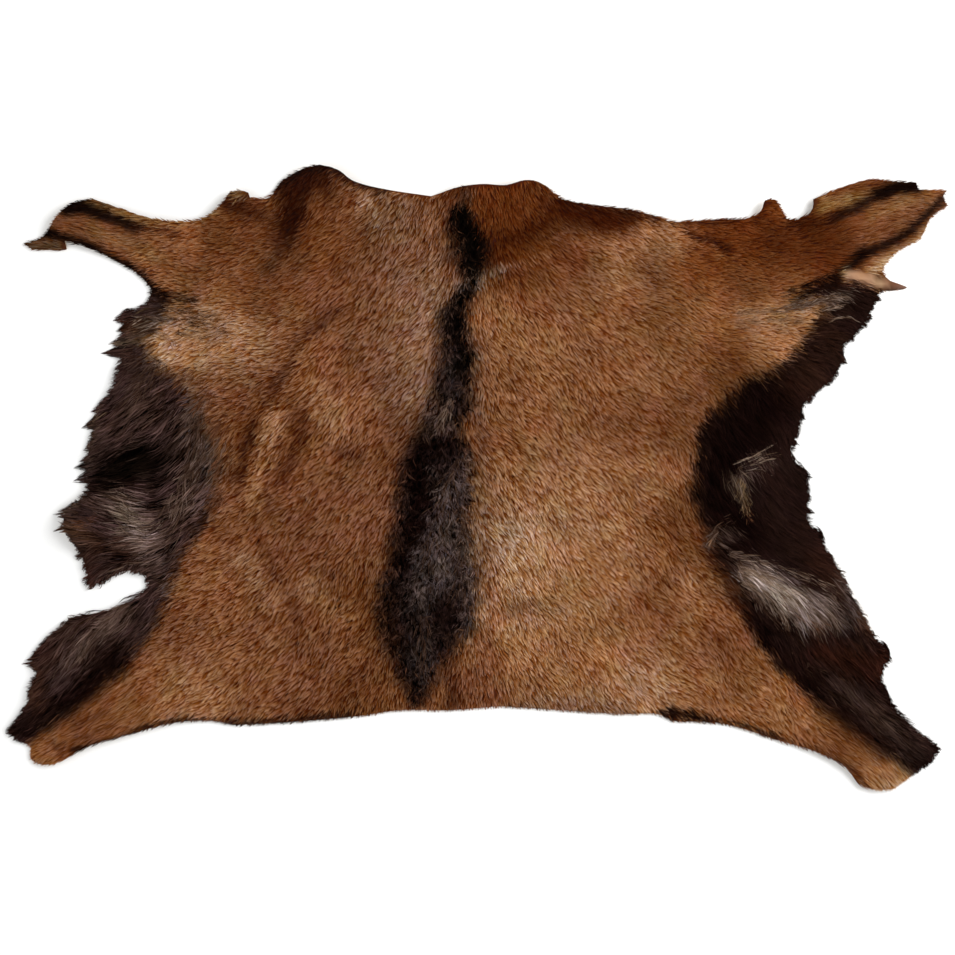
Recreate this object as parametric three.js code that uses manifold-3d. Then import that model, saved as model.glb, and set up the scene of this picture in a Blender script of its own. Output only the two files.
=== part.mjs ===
// A tanned goatskin with its hair on, laid out flat with the hair side up. It is one piece: a thin hide whose
// coat is short on the back, longer along the spine and shaggy on the belly, where locks of hair make the rim.
// Millimetres. X runs across the skin from flank to flank, Y from rump to neck, and Z up from the floor.
import * as THREE from "three";
import { mergeVertices } from "three/addons/utils/BufferGeometryUtils.js";
import Module from "manifold-3d";

const SPAN = 946; // across the hooves of the widest pair of legs
const LENGTH = 628; // from the highest point of the neck edge to the lowest hind leg
const HIDE = 2; // the leather itself
const SHORT_PILE = 6; // depth of the flat-lying back hair
const RIM_PILE_SHARE = 0.42; // how much of the pile is left right at a cut edge
const RIM_SOFTNESS = 22; // how far in from the edge the pile reaches its full depth
const LEAST_PILE = 0.8;

const TOP_PITCH = 16; // spacing of the surface points on the hair side
const UNDER_PITCH = 24; // and on the flesh side
const RIM_STEP = 12; // spacing of points along the rim

// The rim, clockwise seen from above. Each stretch is a smooth curve from one corner of the skin to the next.
const RIM = {
  leftForeHoof: [[-457, 235], [-436, 244], [-423, 262], [-407, 276], [-386, 281]],
  leftForelegTop: [[-386, 281], [-358, 271], [-328, 261], [-302, 258], [-278, 260], [-262, 270], [-254, 279]],
  leftNeckCurl: [[-254, 279], [-250, 286], [-239, 289], [-229, 286], [-227, 280]],
  leftNeck: [[-227, 280], [-209, 283], [-200, 296], [-179, 309], [-158, 314]],
  leftNeckDip: [[-158, 314], [-138, 308], [-126, 299], [-93, 291], [-47, 284]],
  nape: [[-47, 284], [-20, 292], [5, 295], [28, 294], [47, 299], [61, 297], [83, 281]],
  rightNeckDip: [[83, 281], [112, 275], [145, 271], [176, 263], [192, 257], [232, 260], [270, 261]],
  rightNeckCurl: [[270, 261], [282, 267], [287, 279], [298, 279], [304, 269], [311, 260]],
  rightForelegRoot: [[311, 260], [325, 261], [334, 270], [335, 280]],
  rightForelegTop: [[335, 280], [362, 291], [392, 300], [420, 298], [440, 296]],
  rightForeSlit: [[440, 296], [441, 289], [456, 289], [472, 289]],
  rightForeHoof: [[472, 289], [467, 282], [472, 273]],
  rightForelegUnder: [[472, 273], [454, 260], [446, 242], [417, 223], [407, 207], [414, 198]],
  skinPoint: [[414, 198], [431, 191], [416, 188], [403, 187]],
  rightFlankFore: [[403, 187], [393, 163], [381, 146], [367, 133], [366, 118], [354, 98], [333, 81]],
  rightFlankWaist: [[333, 81], [324, 66], [321, 44], [314, 30], [317, 17], [329, 3], [331, -20], [329, -38]],
  rightFlankHind: [[329, -38], [343, -61], [362, -92], [374, -118], [392, -148], [412, -182]],
  rightHindShag: [[412, -182], [405, -196], [410, -220], [426, -240], [446, -258], [465, -272]],
  rightHindHoof: [[465, -272], [450, -287], [434, -301], [416, -313]],
  rightHindEnd: [[416, -313], [396, -313], [380, -307]],
  rightHindlegUnder: [[380, -307], [366, -289], [340, -276], [300, -264], [248, -248], [196, -245]],
  rightRump: [[196, -245], [180, -238], [147, -238], [97, -235], [22, -230]],
  leftRump: [[22, -230], [-28, -234], [-78, -234], [-120, -240], [-188, -246], [-245, -249]],
  leftHindlegUnder: [[-245, -249], [-265, -245], [-303, -246], [-343, -256], [-388, -269], [-425, -288]],
  leftHindHoof: [[-425, -288], [-440, -288], [-450, -282], [-449, -270]],
  leftHindShagEnd: [[-449, -270], [-462, -264], [-473, -254]],
  leftHindShag: [[-473, -254], [-463, -241], [-452, -224], [-450, -210], [-444, -198], [-446, -178], [-433, -159]],
  leftHindShagTop: [[-433, -159], [-418, -148], [-411, -140]],
  leftTearBelow: [[-411, -140], [-386, -135], [-361, -129], [-341, -119], [-331, -108]],
  leftTear: [[-331, -108], [-334, -99], [-345, -94], [-361, -96], [-379, -106], [-392, -108]],
  leftFlankPoint: [[-392, -108], [-394, -92], [-400, -76], [-410, -60]],
  leftFlankLobe: [[-410, -60], [-416, -46], [-411, -32], [-394, -18], [-388, -5]],
  leftFlankMiddle: [[-388, -5], [-394, 12], [-390, 34], [-384, 54], [-377, 74], [-366, 92]],
  leftFlankFore: [[-366, 92], [-360, 112], [-357, 132], [-355, 150], [-348, 163], [-333, 176], [-328, 189]],
  leftForelegUnder: [[-328, 189], [-343, 205], [-371, 221], [-394, 232], [-414, 237]],
  leftForeFlap: [[-414, 237], [-412, 229], [-430, 228], [-453, 229]],
};

// Folds that lift the hide off the floor: a straight crest from one point to another, its half width and its rise.
const FOLDS = [
  { from: [-150, 300], to: [-185, 150], half: 52, rise: 17 },
  { from: [-250, 262], to: [-262, 170], half: 40, rise: 10 },
  { from: [-168, 140], to: [-222, 10], half: 42, rise: 11 },
  { from: [30, 208], to: [165, 250], half: 40, rise: 15 },
  { from: [-10, 292], to: [62, 292], half: 34, rise: 11 },
  { from: [186, 252], to: [214, 140], half: 48, rise: 17 },
  { from: [-14, 290], to: [-6, 196], half: 34, rise: 10 },
  { from: [-12, 176], to: [-36, 40], half: 36, rise: 9 },
  { from: [-36, 40], to: [-46, -190], half: 38, rise: 12 },
  { from: [52, -120], to: [150, -104], half: 34, rise: 9 },
  { from: [-400, -44], to: [-310, -62], half: 40, rise: 13 },
  { from: [-310, -62], to: [-276, 40], half: 34, rise: 12 },
  { from: [262, -92], to: [372, -124], half: 50, rise: 17 },
  { from: [300, 50], to: [284, -40], half: 34, rise: 10 },
  { from: [350, 262], to: [446, 276], half: 34, rise: 13 },
  { from: [-412, 258], to: [-290, 236], half: 34, rise: 10 },
  { from: [-420, -274], to: [-280, -214], half: 34, rise: 7 },
  { from: [404, -296], to: [290, -214], half: 36, rise: 7 },
  { from: [-246, 276], to: [-232, 280], half: 20, rise: 11 },
  { from: [290, 268], to: [300, 272], half: 20, rise: 11 },
];

// Where the coat is deeper than the back hair, as crests again: the spine mane and the shaggy belly.
const DEEP_COAT = [
  { from: [-8, 280], to: [-6, 190], half: 22, rise: 4 },
  { from: [-14, 180], to: [-34, 60], half: 34, rise: 6 },
  { from: [-40, 40], to: [-50, -180], half: 58, rise: 8 },
  { from: [-320, 130], to: [-320, 0], half: 78, rise: 8 },
  { from: [-340, -20], to: [-350, -80], half: 74, rise: 8 },
  { from: [-330, -130], to: [-430, -220], half: 66, rise: 7 },
  { from: [370, 160], to: [290, 60], half: 66, rise: 8 },
  { from: [280, 40], to: [290, -60], half: 66, rise: 8 },
  { from: [310, -90], to: [400, -220], half: 78, rise: 8 },
];

// Where the hair is short or worn off: the lower legs and the bare point of turned leather behind the right foreleg.
const THIN_COAT = [
  { from: [-430, 250], to: [-330, 250], half: 60, rise: 3 },
  { from: [452, 278], to: [360, 250], half: 60, rise: 3 },
  { from: [425, 190], to: [380, 202], half: 26, rise: 5 },
  { from: [-440, -276], to: [-340, -240], half: 46, rise: 2.5 },
  { from: [400, -296], to: [330, -240], half: 46, rise: 2.5 },
];

// The lumps that the tufts of the coat make.
const LUMPS = [
  { along: 0.083, across: 0.031, height: 0.9 },
  { along: 0.047, across: -0.119, height: 0.8 },
  { along: -0.151, across: 0.067, height: 0.6 },
];

// The largest tufts at the rim, by root and tip, with the width of the root.
const TUFTS = [
  { root: [-350, 161], tip: [-368, 158], width: 14 },
  { root: [-352, 127], tip: [-380, 125], width: 12 },
  { root: [-370, 72], tip: [-390, 66], width: 16 },
  { root: [-378, 56], tip: [-399, 50], width: 16 },
  { root: [-382, 14], tip: [-407, 10], width: 14 },
  { root: [-384, 2], tip: [-408, -3], width: 14 },
  { root: [-400, -34], tip: [-428, -37], width: 16 },
  { root: [-398, -46], tip: [-428, -54], width: 18 },
  { root: [-436, -184], tip: [-460, -187], width: 20 },
  { root: [-440, -216], tip: [-455, -214], width: 16 },
  { root: [360, 122], tip: [372, 114], width: 12 },
  { root: [330, 90], tip: [340, 80], width: 16 },
  { root: [320, 64], tip: [330, 58], width: 12 },
  { root: [322, 4], tip: [337, 0], width: 14 },
  { root: [322, -30], tip: [340, -36], width: 8 },
  { root: [340, -60], tip: [350, -66], width: 14 },
  { root: [404, -176], tip: [418, -187], width: 16 },
  { root: [404, -218], tip: [418, -228], width: 14 },
];

// Stretches of the rim that carry a row of smaller locks, and how far those stand out past it.
const LOCK_ROWS = [
  { stretch: "rightFlankFore", reach: 6 },
  { stretch: "rightFlankWaist", reach: 6 },
  { stretch: "rightFlankHind", reach: 5 },
  { stretch: "rightHindShag", reach: 4 },
  { stretch: "leftHindShag", reach: 4 },
  { stretch: "leftFlankLobe", reach: 7 },
  { stretch: "leftFlankMiddle", reach: 8 },
  { stretch: "leftFlankFore", reach: 6 },
];
const LOCK_PITCH = 13;
const LOCK_WIDTH = 13;
const LOCK_ROOT_DEPTH = 9; // how far a lock's root is sunk into the slab
const LOCK_HEIGHT = 5;
const LOCK_DROOP = 0.35; // how far the locks lean towards the rump
const LOCK_FLOOR = 0.05; // a lock starts this far above the hide's underside

const wasm = await Module();
wasm.setup();

// A repeatable number from 0 to 1 for a whole-number index.
function unevenness(index) {
  const wave = Math.sin(index * 12.9898 + 4.1414) * 43758.5453;
  return wave - Math.floor(wave);
}

// Points along a smooth curve through the given points, one every RIM_STEP or so, without the last.
function alongStretch(points, step = RIM_STEP) {
  const curve = new THREE.CatmullRomCurve3(
    points.map(([x, y]) => new THREE.Vector3(x, y, 0)), false, "centripetal");
  const count = Math.max(points.length - 1, Math.round(curve.getLength() / step));
  return curve.getSpacedPoints(count).slice(0, -1);
}

const rimPoints = Object.values(RIM).flatMap((points) => alongStretch(points));

function distanceToSegment(x, y, [ax, ay], [bx, by]) {
  const dx = bx - ax;
  const dy = by - ay;
  const share = THREE.MathUtils.clamp(((x - ax) * dx + (y - ay) * dy) / (dx * dx + dy * dy), 0, 1);
  return Math.hypot(x - ax - share * dx, y - ay - share * dy);
}

function distanceToRim(x, y) {
  return Math.min(...rimPoints.map((p, i) => {
    const q = rimPoints[(i + 1) % rimPoints.length];
    return distanceToSegment(x, y, [p.x, p.y], [q.x, q.y]);
  }));
}

// The height of rounded crests at a point: each falls to nothing at its half width, with no crease.
function crestHeight(rows, x, y) {
  return rows.reduce((height, row) => {
    const share = distanceToSegment(x, y, row.from, row.to) / row.half;
    return share < 1 ? Math.max(height, row.rise * (1 - share * share) ** 2) : height;
  }, 0);
}

const underside = (x, y) => crestHeight(FOLDS, x, y);

function pileDepth(x, y) {
  const lumps = LUMPS.reduce((sum, l) => sum + l.height * Math.sin(l.along * y + l.across * x), 0);
  const full = SHORT_PILE + crestHeight(DEEP_COAT, x, y) - crestHeight(THIN_COAT, x, y) + lumps;
  const inward = THREE.MathUtils.smoothstep(distanceToRim(x, y), 0, RIM_SOFTNESS);
  return Math.max(LEAST_PILE, full * THREE.MathUtils.lerp(RIM_PILE_SHARE, 1, inward));
}

const hairSide = (x, y) => underside(x, y) + HIDE + pileDepth(x, y);

// A closed solid from a three.js geometry.
function solidOf(geometry) {
  const bare = geometry.index ? geometry.toNonIndexed() : geometry.clone();
  bare.deleteAttribute("normal");
  bare.deleteAttribute("uv");
  const merged = mergeVertices(bare, 1e-4);
  return new wasm.Manifold(new wasm.Mesh({
    numProp: 3,
    vertProperties: new Float32Array(merged.attributes.position.array),
    triVerts: new Uint32Array(merged.index.array),
  }));
}

// A block from a flat base up to a surface given by its height at each point.
function blockUnder(surface, pitch, base) {
  const margin = 2 * pitch;
  const width = SPAN + 2 * margin;
  const depth = LENGTH + 2 * margin;
  const box = new THREE.BoxGeometry(
    width, depth, 1, Math.round(width / pitch), Math.round(depth / pitch), 1);
  const position = box.attributes.position;
  for (let i = 0; i < position.count; i++) {
    const top = position.getZ(i) > 0;
    position.setZ(i, top ? surface(position.getX(i), position.getY(i)) : base);
  }
  return solidOf(box);
}

// The upright prism that cuts the skin to its outline.
function outlinePrism(bottom, top) {
  const shape = new THREE.Shape(rimPoints.map((p) => new THREE.Vector2(p.x, p.y)));
  const prism = new THREE.ExtrudeGeometry(shape, { depth: top - bottom, bevelEnabled: false });
  prism.translate(0, 0, bottom);
  return solidOf(prism);
}

// A lock of hair lying along the hide's underside: three-sided, flat below, narrowing from its root to its tip.
function lock(root, tip, width, height) {
  const way = new THREE.Vector2(tip[0] - root[0], tip[1] - root[1]);
  const side = new THREE.Vector2(-way.y, way.x).normalize();
  const sections = [
    { share: 0, wide: 1, tall: 1 },
    { share: 0.6, wide: 0.62, tall: 0.62 },
    { share: 1, wide: 0.06, tall: 0.12 },
  ];
  const corners = sections.flatMap(({ share, wide, tall }) => {
    const x = root[0] + way.x * share;
    const y = root[1] + way.y * share;
    const half = (width / 2) * wide;
    const low = underside(x, y) + LOCK_FLOOR;
    return [
      [x + side.x * half, y + side.y * half, low],
      [x - side.x * half, y - side.y * half, low],
      [x, y, low + height * tall],
    ];
  });
  const faces = [[0, 1, 2], [6, 8, 7]];
  for (const ring of [0, 3]) {
    for (let i = 0; i < 3; i++) {
      const j = (i + 1) % 3;
      faces.push([ring + i, ring + 3 + i, ring + j], [ring + j, ring + 3 + i, ring + 3 + j]);
    }
  }
  const geometry = new THREE.BufferGeometry();
  geometry.setAttribute("position", new THREE.Float32BufferAttribute(corners.flat(), 3));
  geometry.setIndex(faces.flat());
  return solidOf(geometry);
}

// The rows of small locks: each leans out from the rim and a little towards the rump.
function lockRow({ stretch, reach }, rowIndex) {
  const points = alongStretch(RIM[stretch], LOCK_PITCH);
  return points.slice(1).map((point, i) => {
    const along = point.clone().sub(points[i]).normalize();
    const out = new THREE.Vector2(-along.y, along.x - LOCK_DROOP).normalize();
    const chance = unevenness(100 * rowIndex + i);
    const far = reach * (0.55 + 0.75 * chance);
    const root = [point.x - out.x * LOCK_ROOT_DEPTH, point.y - out.y * LOCK_ROOT_DEPTH];
    const tip = [point.x + out.x * far, point.y + out.y * far];
    return lock(root, tip, LOCK_WIDTH * (0.8 + 0.4 * chance), LOCK_HEIGHT);
  });
}

function goatskinSolid() {
  const room = 100;
  const slab = blockUnder(hairSide, TOP_PITCH, -room)
    .intersect(outlinePrism(-room / 2, room))
    .subtract(blockUnder(underside, UNDER_PITCH, -2 * room));
  const locks = [
    ...LOCK_ROWS.flatMap(lockRow),
    ...TUFTS.map((t) => lock(t.root, t.tip, t.width, LOCK_HEIGHT)),
  ];
  return locks.reduce((whole, piece) => whole.add(piece), slab);
}

function geometryOf(solid) {
  const { vertProperties, triVerts } = solid.getMesh();
  const geometry = new THREE.BufferGeometry();
  geometry.setAttribute("position", new THREE.BufferAttribute(vertProperties, 3));
  geometry.setIndex(new THREE.BufferAttribute(triVerts, 1));
  geometry.computeVertexNormals();
  return geometry;
}

const fur = new THREE.MeshStandardMaterial({ color: "#7a4c2e", roughness: 0.8, metalness: 0 });
const goatskin = new THREE.Mesh(geometryOf(goatskinSolid()), fur);
goatskin.name = "goatskin";

const part = new THREE.Group();
part.add(goatskin);

export default part;
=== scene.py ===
"""A tanned goatskin with its hair on, laid out hair side up, on a pale floor in soft light.

Object space is metres. The tables below are in millimetres: X across the skin, Y from rump to neck.
"""
import math

import bpy
import numpy as np
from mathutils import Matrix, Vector
from mathutils.geometry import delaunay_2d_cdt


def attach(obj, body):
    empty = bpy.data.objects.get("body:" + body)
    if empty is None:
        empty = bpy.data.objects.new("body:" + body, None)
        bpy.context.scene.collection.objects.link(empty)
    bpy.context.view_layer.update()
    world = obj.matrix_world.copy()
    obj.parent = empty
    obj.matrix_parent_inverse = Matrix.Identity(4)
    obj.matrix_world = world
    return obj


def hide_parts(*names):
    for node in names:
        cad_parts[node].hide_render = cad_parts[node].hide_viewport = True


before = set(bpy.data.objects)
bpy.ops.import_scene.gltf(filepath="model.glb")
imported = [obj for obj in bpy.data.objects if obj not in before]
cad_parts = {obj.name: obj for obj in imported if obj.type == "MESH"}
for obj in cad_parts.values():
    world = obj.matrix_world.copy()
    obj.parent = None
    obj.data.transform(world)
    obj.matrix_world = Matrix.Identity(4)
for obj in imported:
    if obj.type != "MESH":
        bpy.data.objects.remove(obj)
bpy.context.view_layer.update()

bl_info = {
    "name": "Goatskin",
    "version": (1, 0, 0),
    "blender": (4, 5, 0),
    "location": "3D View > Sidebar > Goatskin",
    "description": "Builds a goatskin with its hair on and a plain studio for it",
    "category": "Object",
}

MM = 0.001

# The rim, clockwise seen from above, as smooth curves from one corner of the skin to the next.
RIM = {
    "left fore hoof": [(-457, 235), (-436, 244), (-423, 262), (-407, 276), (-386, 281)],
    "left foreleg top": [(-386, 281), (-358, 271), (-328, 261), (-302, 258), (-278, 260), (-262, 270),
                         (-254, 279)],
    "left neck curl": [(-254, 279), (-250, 286), (-239, 289), (-229, 286), (-227, 280)],
    "left neck": [(-227, 280), (-209, 283), (-200, 296), (-179, 309), (-158, 314)],
    "left neck dip": [(-158, 314), (-138, 308), (-126, 299), (-93, 291), (-47, 284)],
    "nape": [(-47, 284), (-20, 292), (5, 295), (28, 294), (47, 299), (61, 297), (83, 281)],
    "right neck dip": [(83, 281), (112, 275), (145, 271), (176, 263), (192, 257), (232, 260), (270, 261)],
    "right neck curl": [(270, 261), (282, 267), (287, 279), (298, 279), (304, 269), (311, 260)],
    "right foreleg root": [(311, 260), (325, 261), (334, 270), (335, 280)],
    "right foreleg top": [(335, 280), (362, 291), (392, 300), (420, 298), (440, 296)],
    "right fore slit": [(440, 296), (441, 289), (456, 289), (472, 289)],
    "right fore hoof": [(472, 289), (467, 282), (472, 273)],
    "right foreleg under": [(472, 273), (454, 260), (446, 242), (417, 223), (407, 207), (414, 198)],
    "skin point": [(414, 198), (431, 191), (416, 188), (403, 187)],
    "right flank fore": [(403, 187), (393, 163), (381, 146), (367, 133), (366, 118), (354, 98), (333, 81)],
    "right flank waist": [(333, 81), (324, 66), (321, 44), (314, 30), (317, 17), (329, 3), (331, -20),
                          (329, -38)],
    "right flank hind": [(329, -38), (343, -61), (362, -92), (374, -118), (392, -148), (412, -182)],
    "right hind shag": [(412, -182), (405, -196), (410, -220), (426, -240), (446, -258), (465, -272)],
    "right hind hoof": [(465, -272), (450, -287), (434, -301), (416, -313)],
    "right hind end": [(416, -313), (396, -313), (380, -307)],
    "right hindleg under": [(380, -307), (366, -289), (340, -276), (300, -264), (248, -248), (196, -245)],
    "right rump": [(196, -245), (180, -238), (147, -238), (97, -235), (22, -230)],
    "left rump": [(22, -230), (-28, -234), (-78, -234), (-120, -240), (-188, -246), (-245, -249)],
    "left hindleg under": [(-245, -249), (-265, -245), (-303, -246), (-343, -256), (-388, -269),
                           (-425, -288)],
    "left hind hoof": [(-425, -288), (-440, -288), (-450, -282), (-449, -270)],
    "left hind shag end": [(-449, -270), (-462, -264), (-473, -254)],
    "left hind shag": [(-473, -254), (-463, -241), (-452, -224), (-450, -210), (-444, -198),
                       (-446, -178), (-433, -159)],
    "left hind shag top": [(-433, -159), (-418, -148), (-411, -140)],
    "left tear below": [(-411, -140), (-386, -135), (-361, -129), (-341, -119), (-331, -108)],
    "left tear": [(-331, -108), (-334, -99), (-345, -94), (-361, -96), (-379, -106), (-392, -108)],
    "left flank point": [(-392, -108), (-394, -92), (-400, -76), (-410, -60)],
    "left flank lobe": [(-410, -60), (-416, -46), (-411, -32), (-394, -18), (-388, -5)],
    "left flank middle": [(-388, -5), (-394, 12), (-390, 34), (-384, 54), (-377, 74), (-366, 92)],
    "left flank fore": [(-366, 92), (-360, 112), (-357, 132), (-355, 150), (-348, 163), (-333, 176),
                        (-328, 189)],
    "left foreleg under": [(-328, 189), (-343, 205), (-371, 221), (-394, 232), (-414, 237)],
    "left fore flap": [(-414, 237), (-412, 229), (-430, 228), (-453, 229)],
}

# Folds that lift the hide off the floor: the ends of the crest, its half width and its rise.
FOLDS = [
    ([(-150, 300), (-185, 150)], 52, 17),
    ([(-250, 262), (-262, 170)], 40, 10),
    ([(-168, 140), (-222, 10)], 42, 11),
    ([(30, 208), (165, 250)], 40, 15),
    ([(-10, 292), (62, 292)], 34, 11),
    ([(186, 252), (214, 140)], 48, 17),
    ([(-14, 290), (-6, 196)], 34, 10),
    ([(-12, 176), (-36, 40)], 36, 9),
    ([(-36, 40), (-46, -190)], 38, 12),
    ([(52, -120), (150, -104)], 34, 9),
    ([(-400, -44), (-310, -62)], 40, 13),
    ([(-310, -62), (-276, 40)], 34, 12),
    ([(262, -92), (372, -124)], 50, 17),
    ([(300, 50), (284, -40)], 34, 10),
    ([(350, 262), (446, 276)], 34, 13),
    ([(-412, 258), (-290, 236)], 34, 10),
    ([(-420, -274), (-280, -214)], 34, 7),
    ([(404, -296), (290, -214)], 36, 7),
    ([(-246, 276), (-232, 280)], 20, 11),
    ([(290, 268), (300, 272)], 20, 11),
]

# Narrow creases in the coat, as the points of a line, its half width and its depth.
CREASES = [
    ([(-142, 168), (-178, 138), (-196, 104), (-210, 74)], 9, 5.0),
    ([(-225, 56), (-235, 28), (-240, 2)], 9, 4.0),
    ([(-176, 64), (-183, 32), (-193, -4)], 9, 3.0),
    ([(-176, 300), (-184, 270), (-194, 236), (-210, 206)], 13, 5.0),
    ([(7, 228), (43, 262), (84, 266), (122, 254)], 12, 4.5),
    ([(206, 242), (236, 234)], 7, 3.5),
    ([(22, -128), (46, -126), (60, -120)], 8, 3.5),
    ([(162, -120), (178, -104), (190, -98)], 8, 3.0),
    ([(-20, 196), (2, 203), (24, 210)], 6, 2.5),
    ([(-214, -58), (-205, -86), (-187, -120), (-178, -150)], 8, 2.5),
    ([(-24, 40), (10, 38), (30, 32)], 8, 2.5),
]

# The long dark hair of the belly, on each side: its inner border and then round outside the skin.
LEFT_BELLY = [
    (-330, 190), (-319, 180), (-313, 166), (-322, 150), (-336, 138), (-327, 122), (-310, 108), (-296, 95),
    (-284, 80), (-276, 58), (-264, 38), (-258, 8), (-262, -22), (-270, -47), (-284, -68), (-298, -84),
    (-304, -104), (-310, -124), (-322, -150), (-336, -170), (-358, -190), (-380, -206), (-402, -226),
    (-428, -247), (-449, -264), (-520, -290), (-520, 190),
]
RIGHT_BELLY = [
    (322, 193), (352, 178), (332, 150), (316, 130), (296, 112), (271, 99), (250, 81), (230, 66), (220, 46),
    (215, 22), (213, -2), (217, -32), (224, -57), (234, -76), (246, -97), (260, -124), (280, -162),
    (301, -190), (323, -210), (350, -230), (377, -252), (402, -270), (424, -288), (440, -302), (520, -320),
    (520, 200), (431, 189), (403, 187), (380, 200),
]

# The dorsal stripe from neck to rump: y, centre, half width.
STRIPE = [
    (293, -10, 4), (278, -13, 5), (266, -17, 8), (252, -12, 13), (238, -6, 17), (223, -6, 17),
    (210, -4, 12), (200, -3, 8), (188, -10, 10), (173, -20, 13), (158, -22, 14), (138, -21, 15),
    (108, -22, 17), (78, -24, 19), (58, -34, 21), (40, -39, 28), (18, -39, 35), (-2, -41, 37),
    (-22, -44, 36), (-42, -47, 35), (-62, -48, 37), (-82, -47, 40), (-102, -48, 47), (-122, -50, 49),
    (-142, -51, 48), (-162, -54, 38), (-182, -55, 28), (-202, -57, 18), (-217, -59, 10), (-229, -61, 4),
]

# Which way the hair lies at some places: x, y and the direction.
FLOW = [
    (-128, 258, -0.7, -0.7), (-78, 178, -0.65, -0.75), (-178, 28, -0.7, -0.7), (-278, 78, -0.9, -0.42),
    (-278, 228, -1.0, -0.05), (-378, 248, -0.98, 0.15), (-278, -172, -0.85, -0.5),
    (-378, -222, -0.87, -0.5), (-128, -172, -0.6, -0.8), (22, 28, 0.6, -0.8), (40, 120, 0.68, -0.73),
    (70, 60, 0.72, -0.7), (70, -10, 0.7, -0.7), (36, -50, 0.55, -0.83), (70, -110, 0.6, -0.8),
    (116, -50, 0.72, -0.7), (-60, 232, -0.65, -0.76), (-74, 140, -0.68, -0.73), (-72, 96, -0.66, -0.75),
    (-84, 30, -0.62, -0.78), (-96, -60, -0.6, -0.8), (122, 28, 0.7, -0.7), (202, 128, 0.82, -0.57),
    (272, 228, 1.0, -0.05), (372, 258, 0.95, 0.3), (222, -172, 0.75, -0.65), (372, -262, 0.77, -0.64),
    (72, -182, 0.5, -0.87), (-16, 228, 0.0, -1.0), (-48, 278, -0.3, -0.95), (-30, 100, -0.08, -1.0),
    (-45, -60, -0.08, -1.0), (-55, -180, -0.08, -1.0), (-340, 90, -0.62, -0.78), (-378, 40, -0.9, -0.42),
    (-350, 20, -0.75, -0.65), (-292, 20, -0.55, -0.83), (-294, -30, -0.5, -0.86), (-312, -58, -0.85, -0.5),
    (-334, -60, -1.0, 0.1), (-348, -30, -0.72, 0.7), (-370, -45, -0.85, 0.5), (-398, -40, -0.93, 0.35),
    (-303, -95, -0.9, -0.42), (-360, -84, -0.96, -0.28), (-390, -95, -0.4, -0.92), (-330, -140, -0.7, -0.7),
    (-370, -145, -0.6, -0.8), (-400, -185, -0.45, -0.9), (-450, -230, -0.8, -0.6), (362, 168, 0.85, -0.5),
    (342, 98, 0.7, -0.7), (300, 60, 0.5, -0.86), (272, 28, 0.2, -0.98), (262, -20, 0.3, -0.95),
    (305, -30, 0.8, -0.6), (267, -82, 0.9, -0.35), (330, -92, 0.9, -0.45), (292, -118, 0.75, -0.66),
    (322, -148, 0.35, -0.93), (372, -150, 0.5, -0.86), (262, -142, 0.55, -0.83), (382, -222, 0.64, -0.77),
    (-290, 172, -1.0, -0.1), (-300, 150, -0.93, -0.3), (-256, 158, -0.97, -0.2), (-318, 150, -0.95, -0.3),
    (-232, 176, -0.97, -0.2), (290, 164, 0.98, 0.12), (332, 170, 0.95, 0.25), (306, 142, 0.88, -0.4),
    (102, 238, 0.82, -0.57), (150, 222, 0.88, -0.48), (190, 200, 0.93, -0.36), (222, 238, 0.97, -0.2),
    (62, 240, 0.6, -0.8), (120, 160, 0.75, -0.66), (410, -210, 0.8, -0.6),
]

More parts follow.
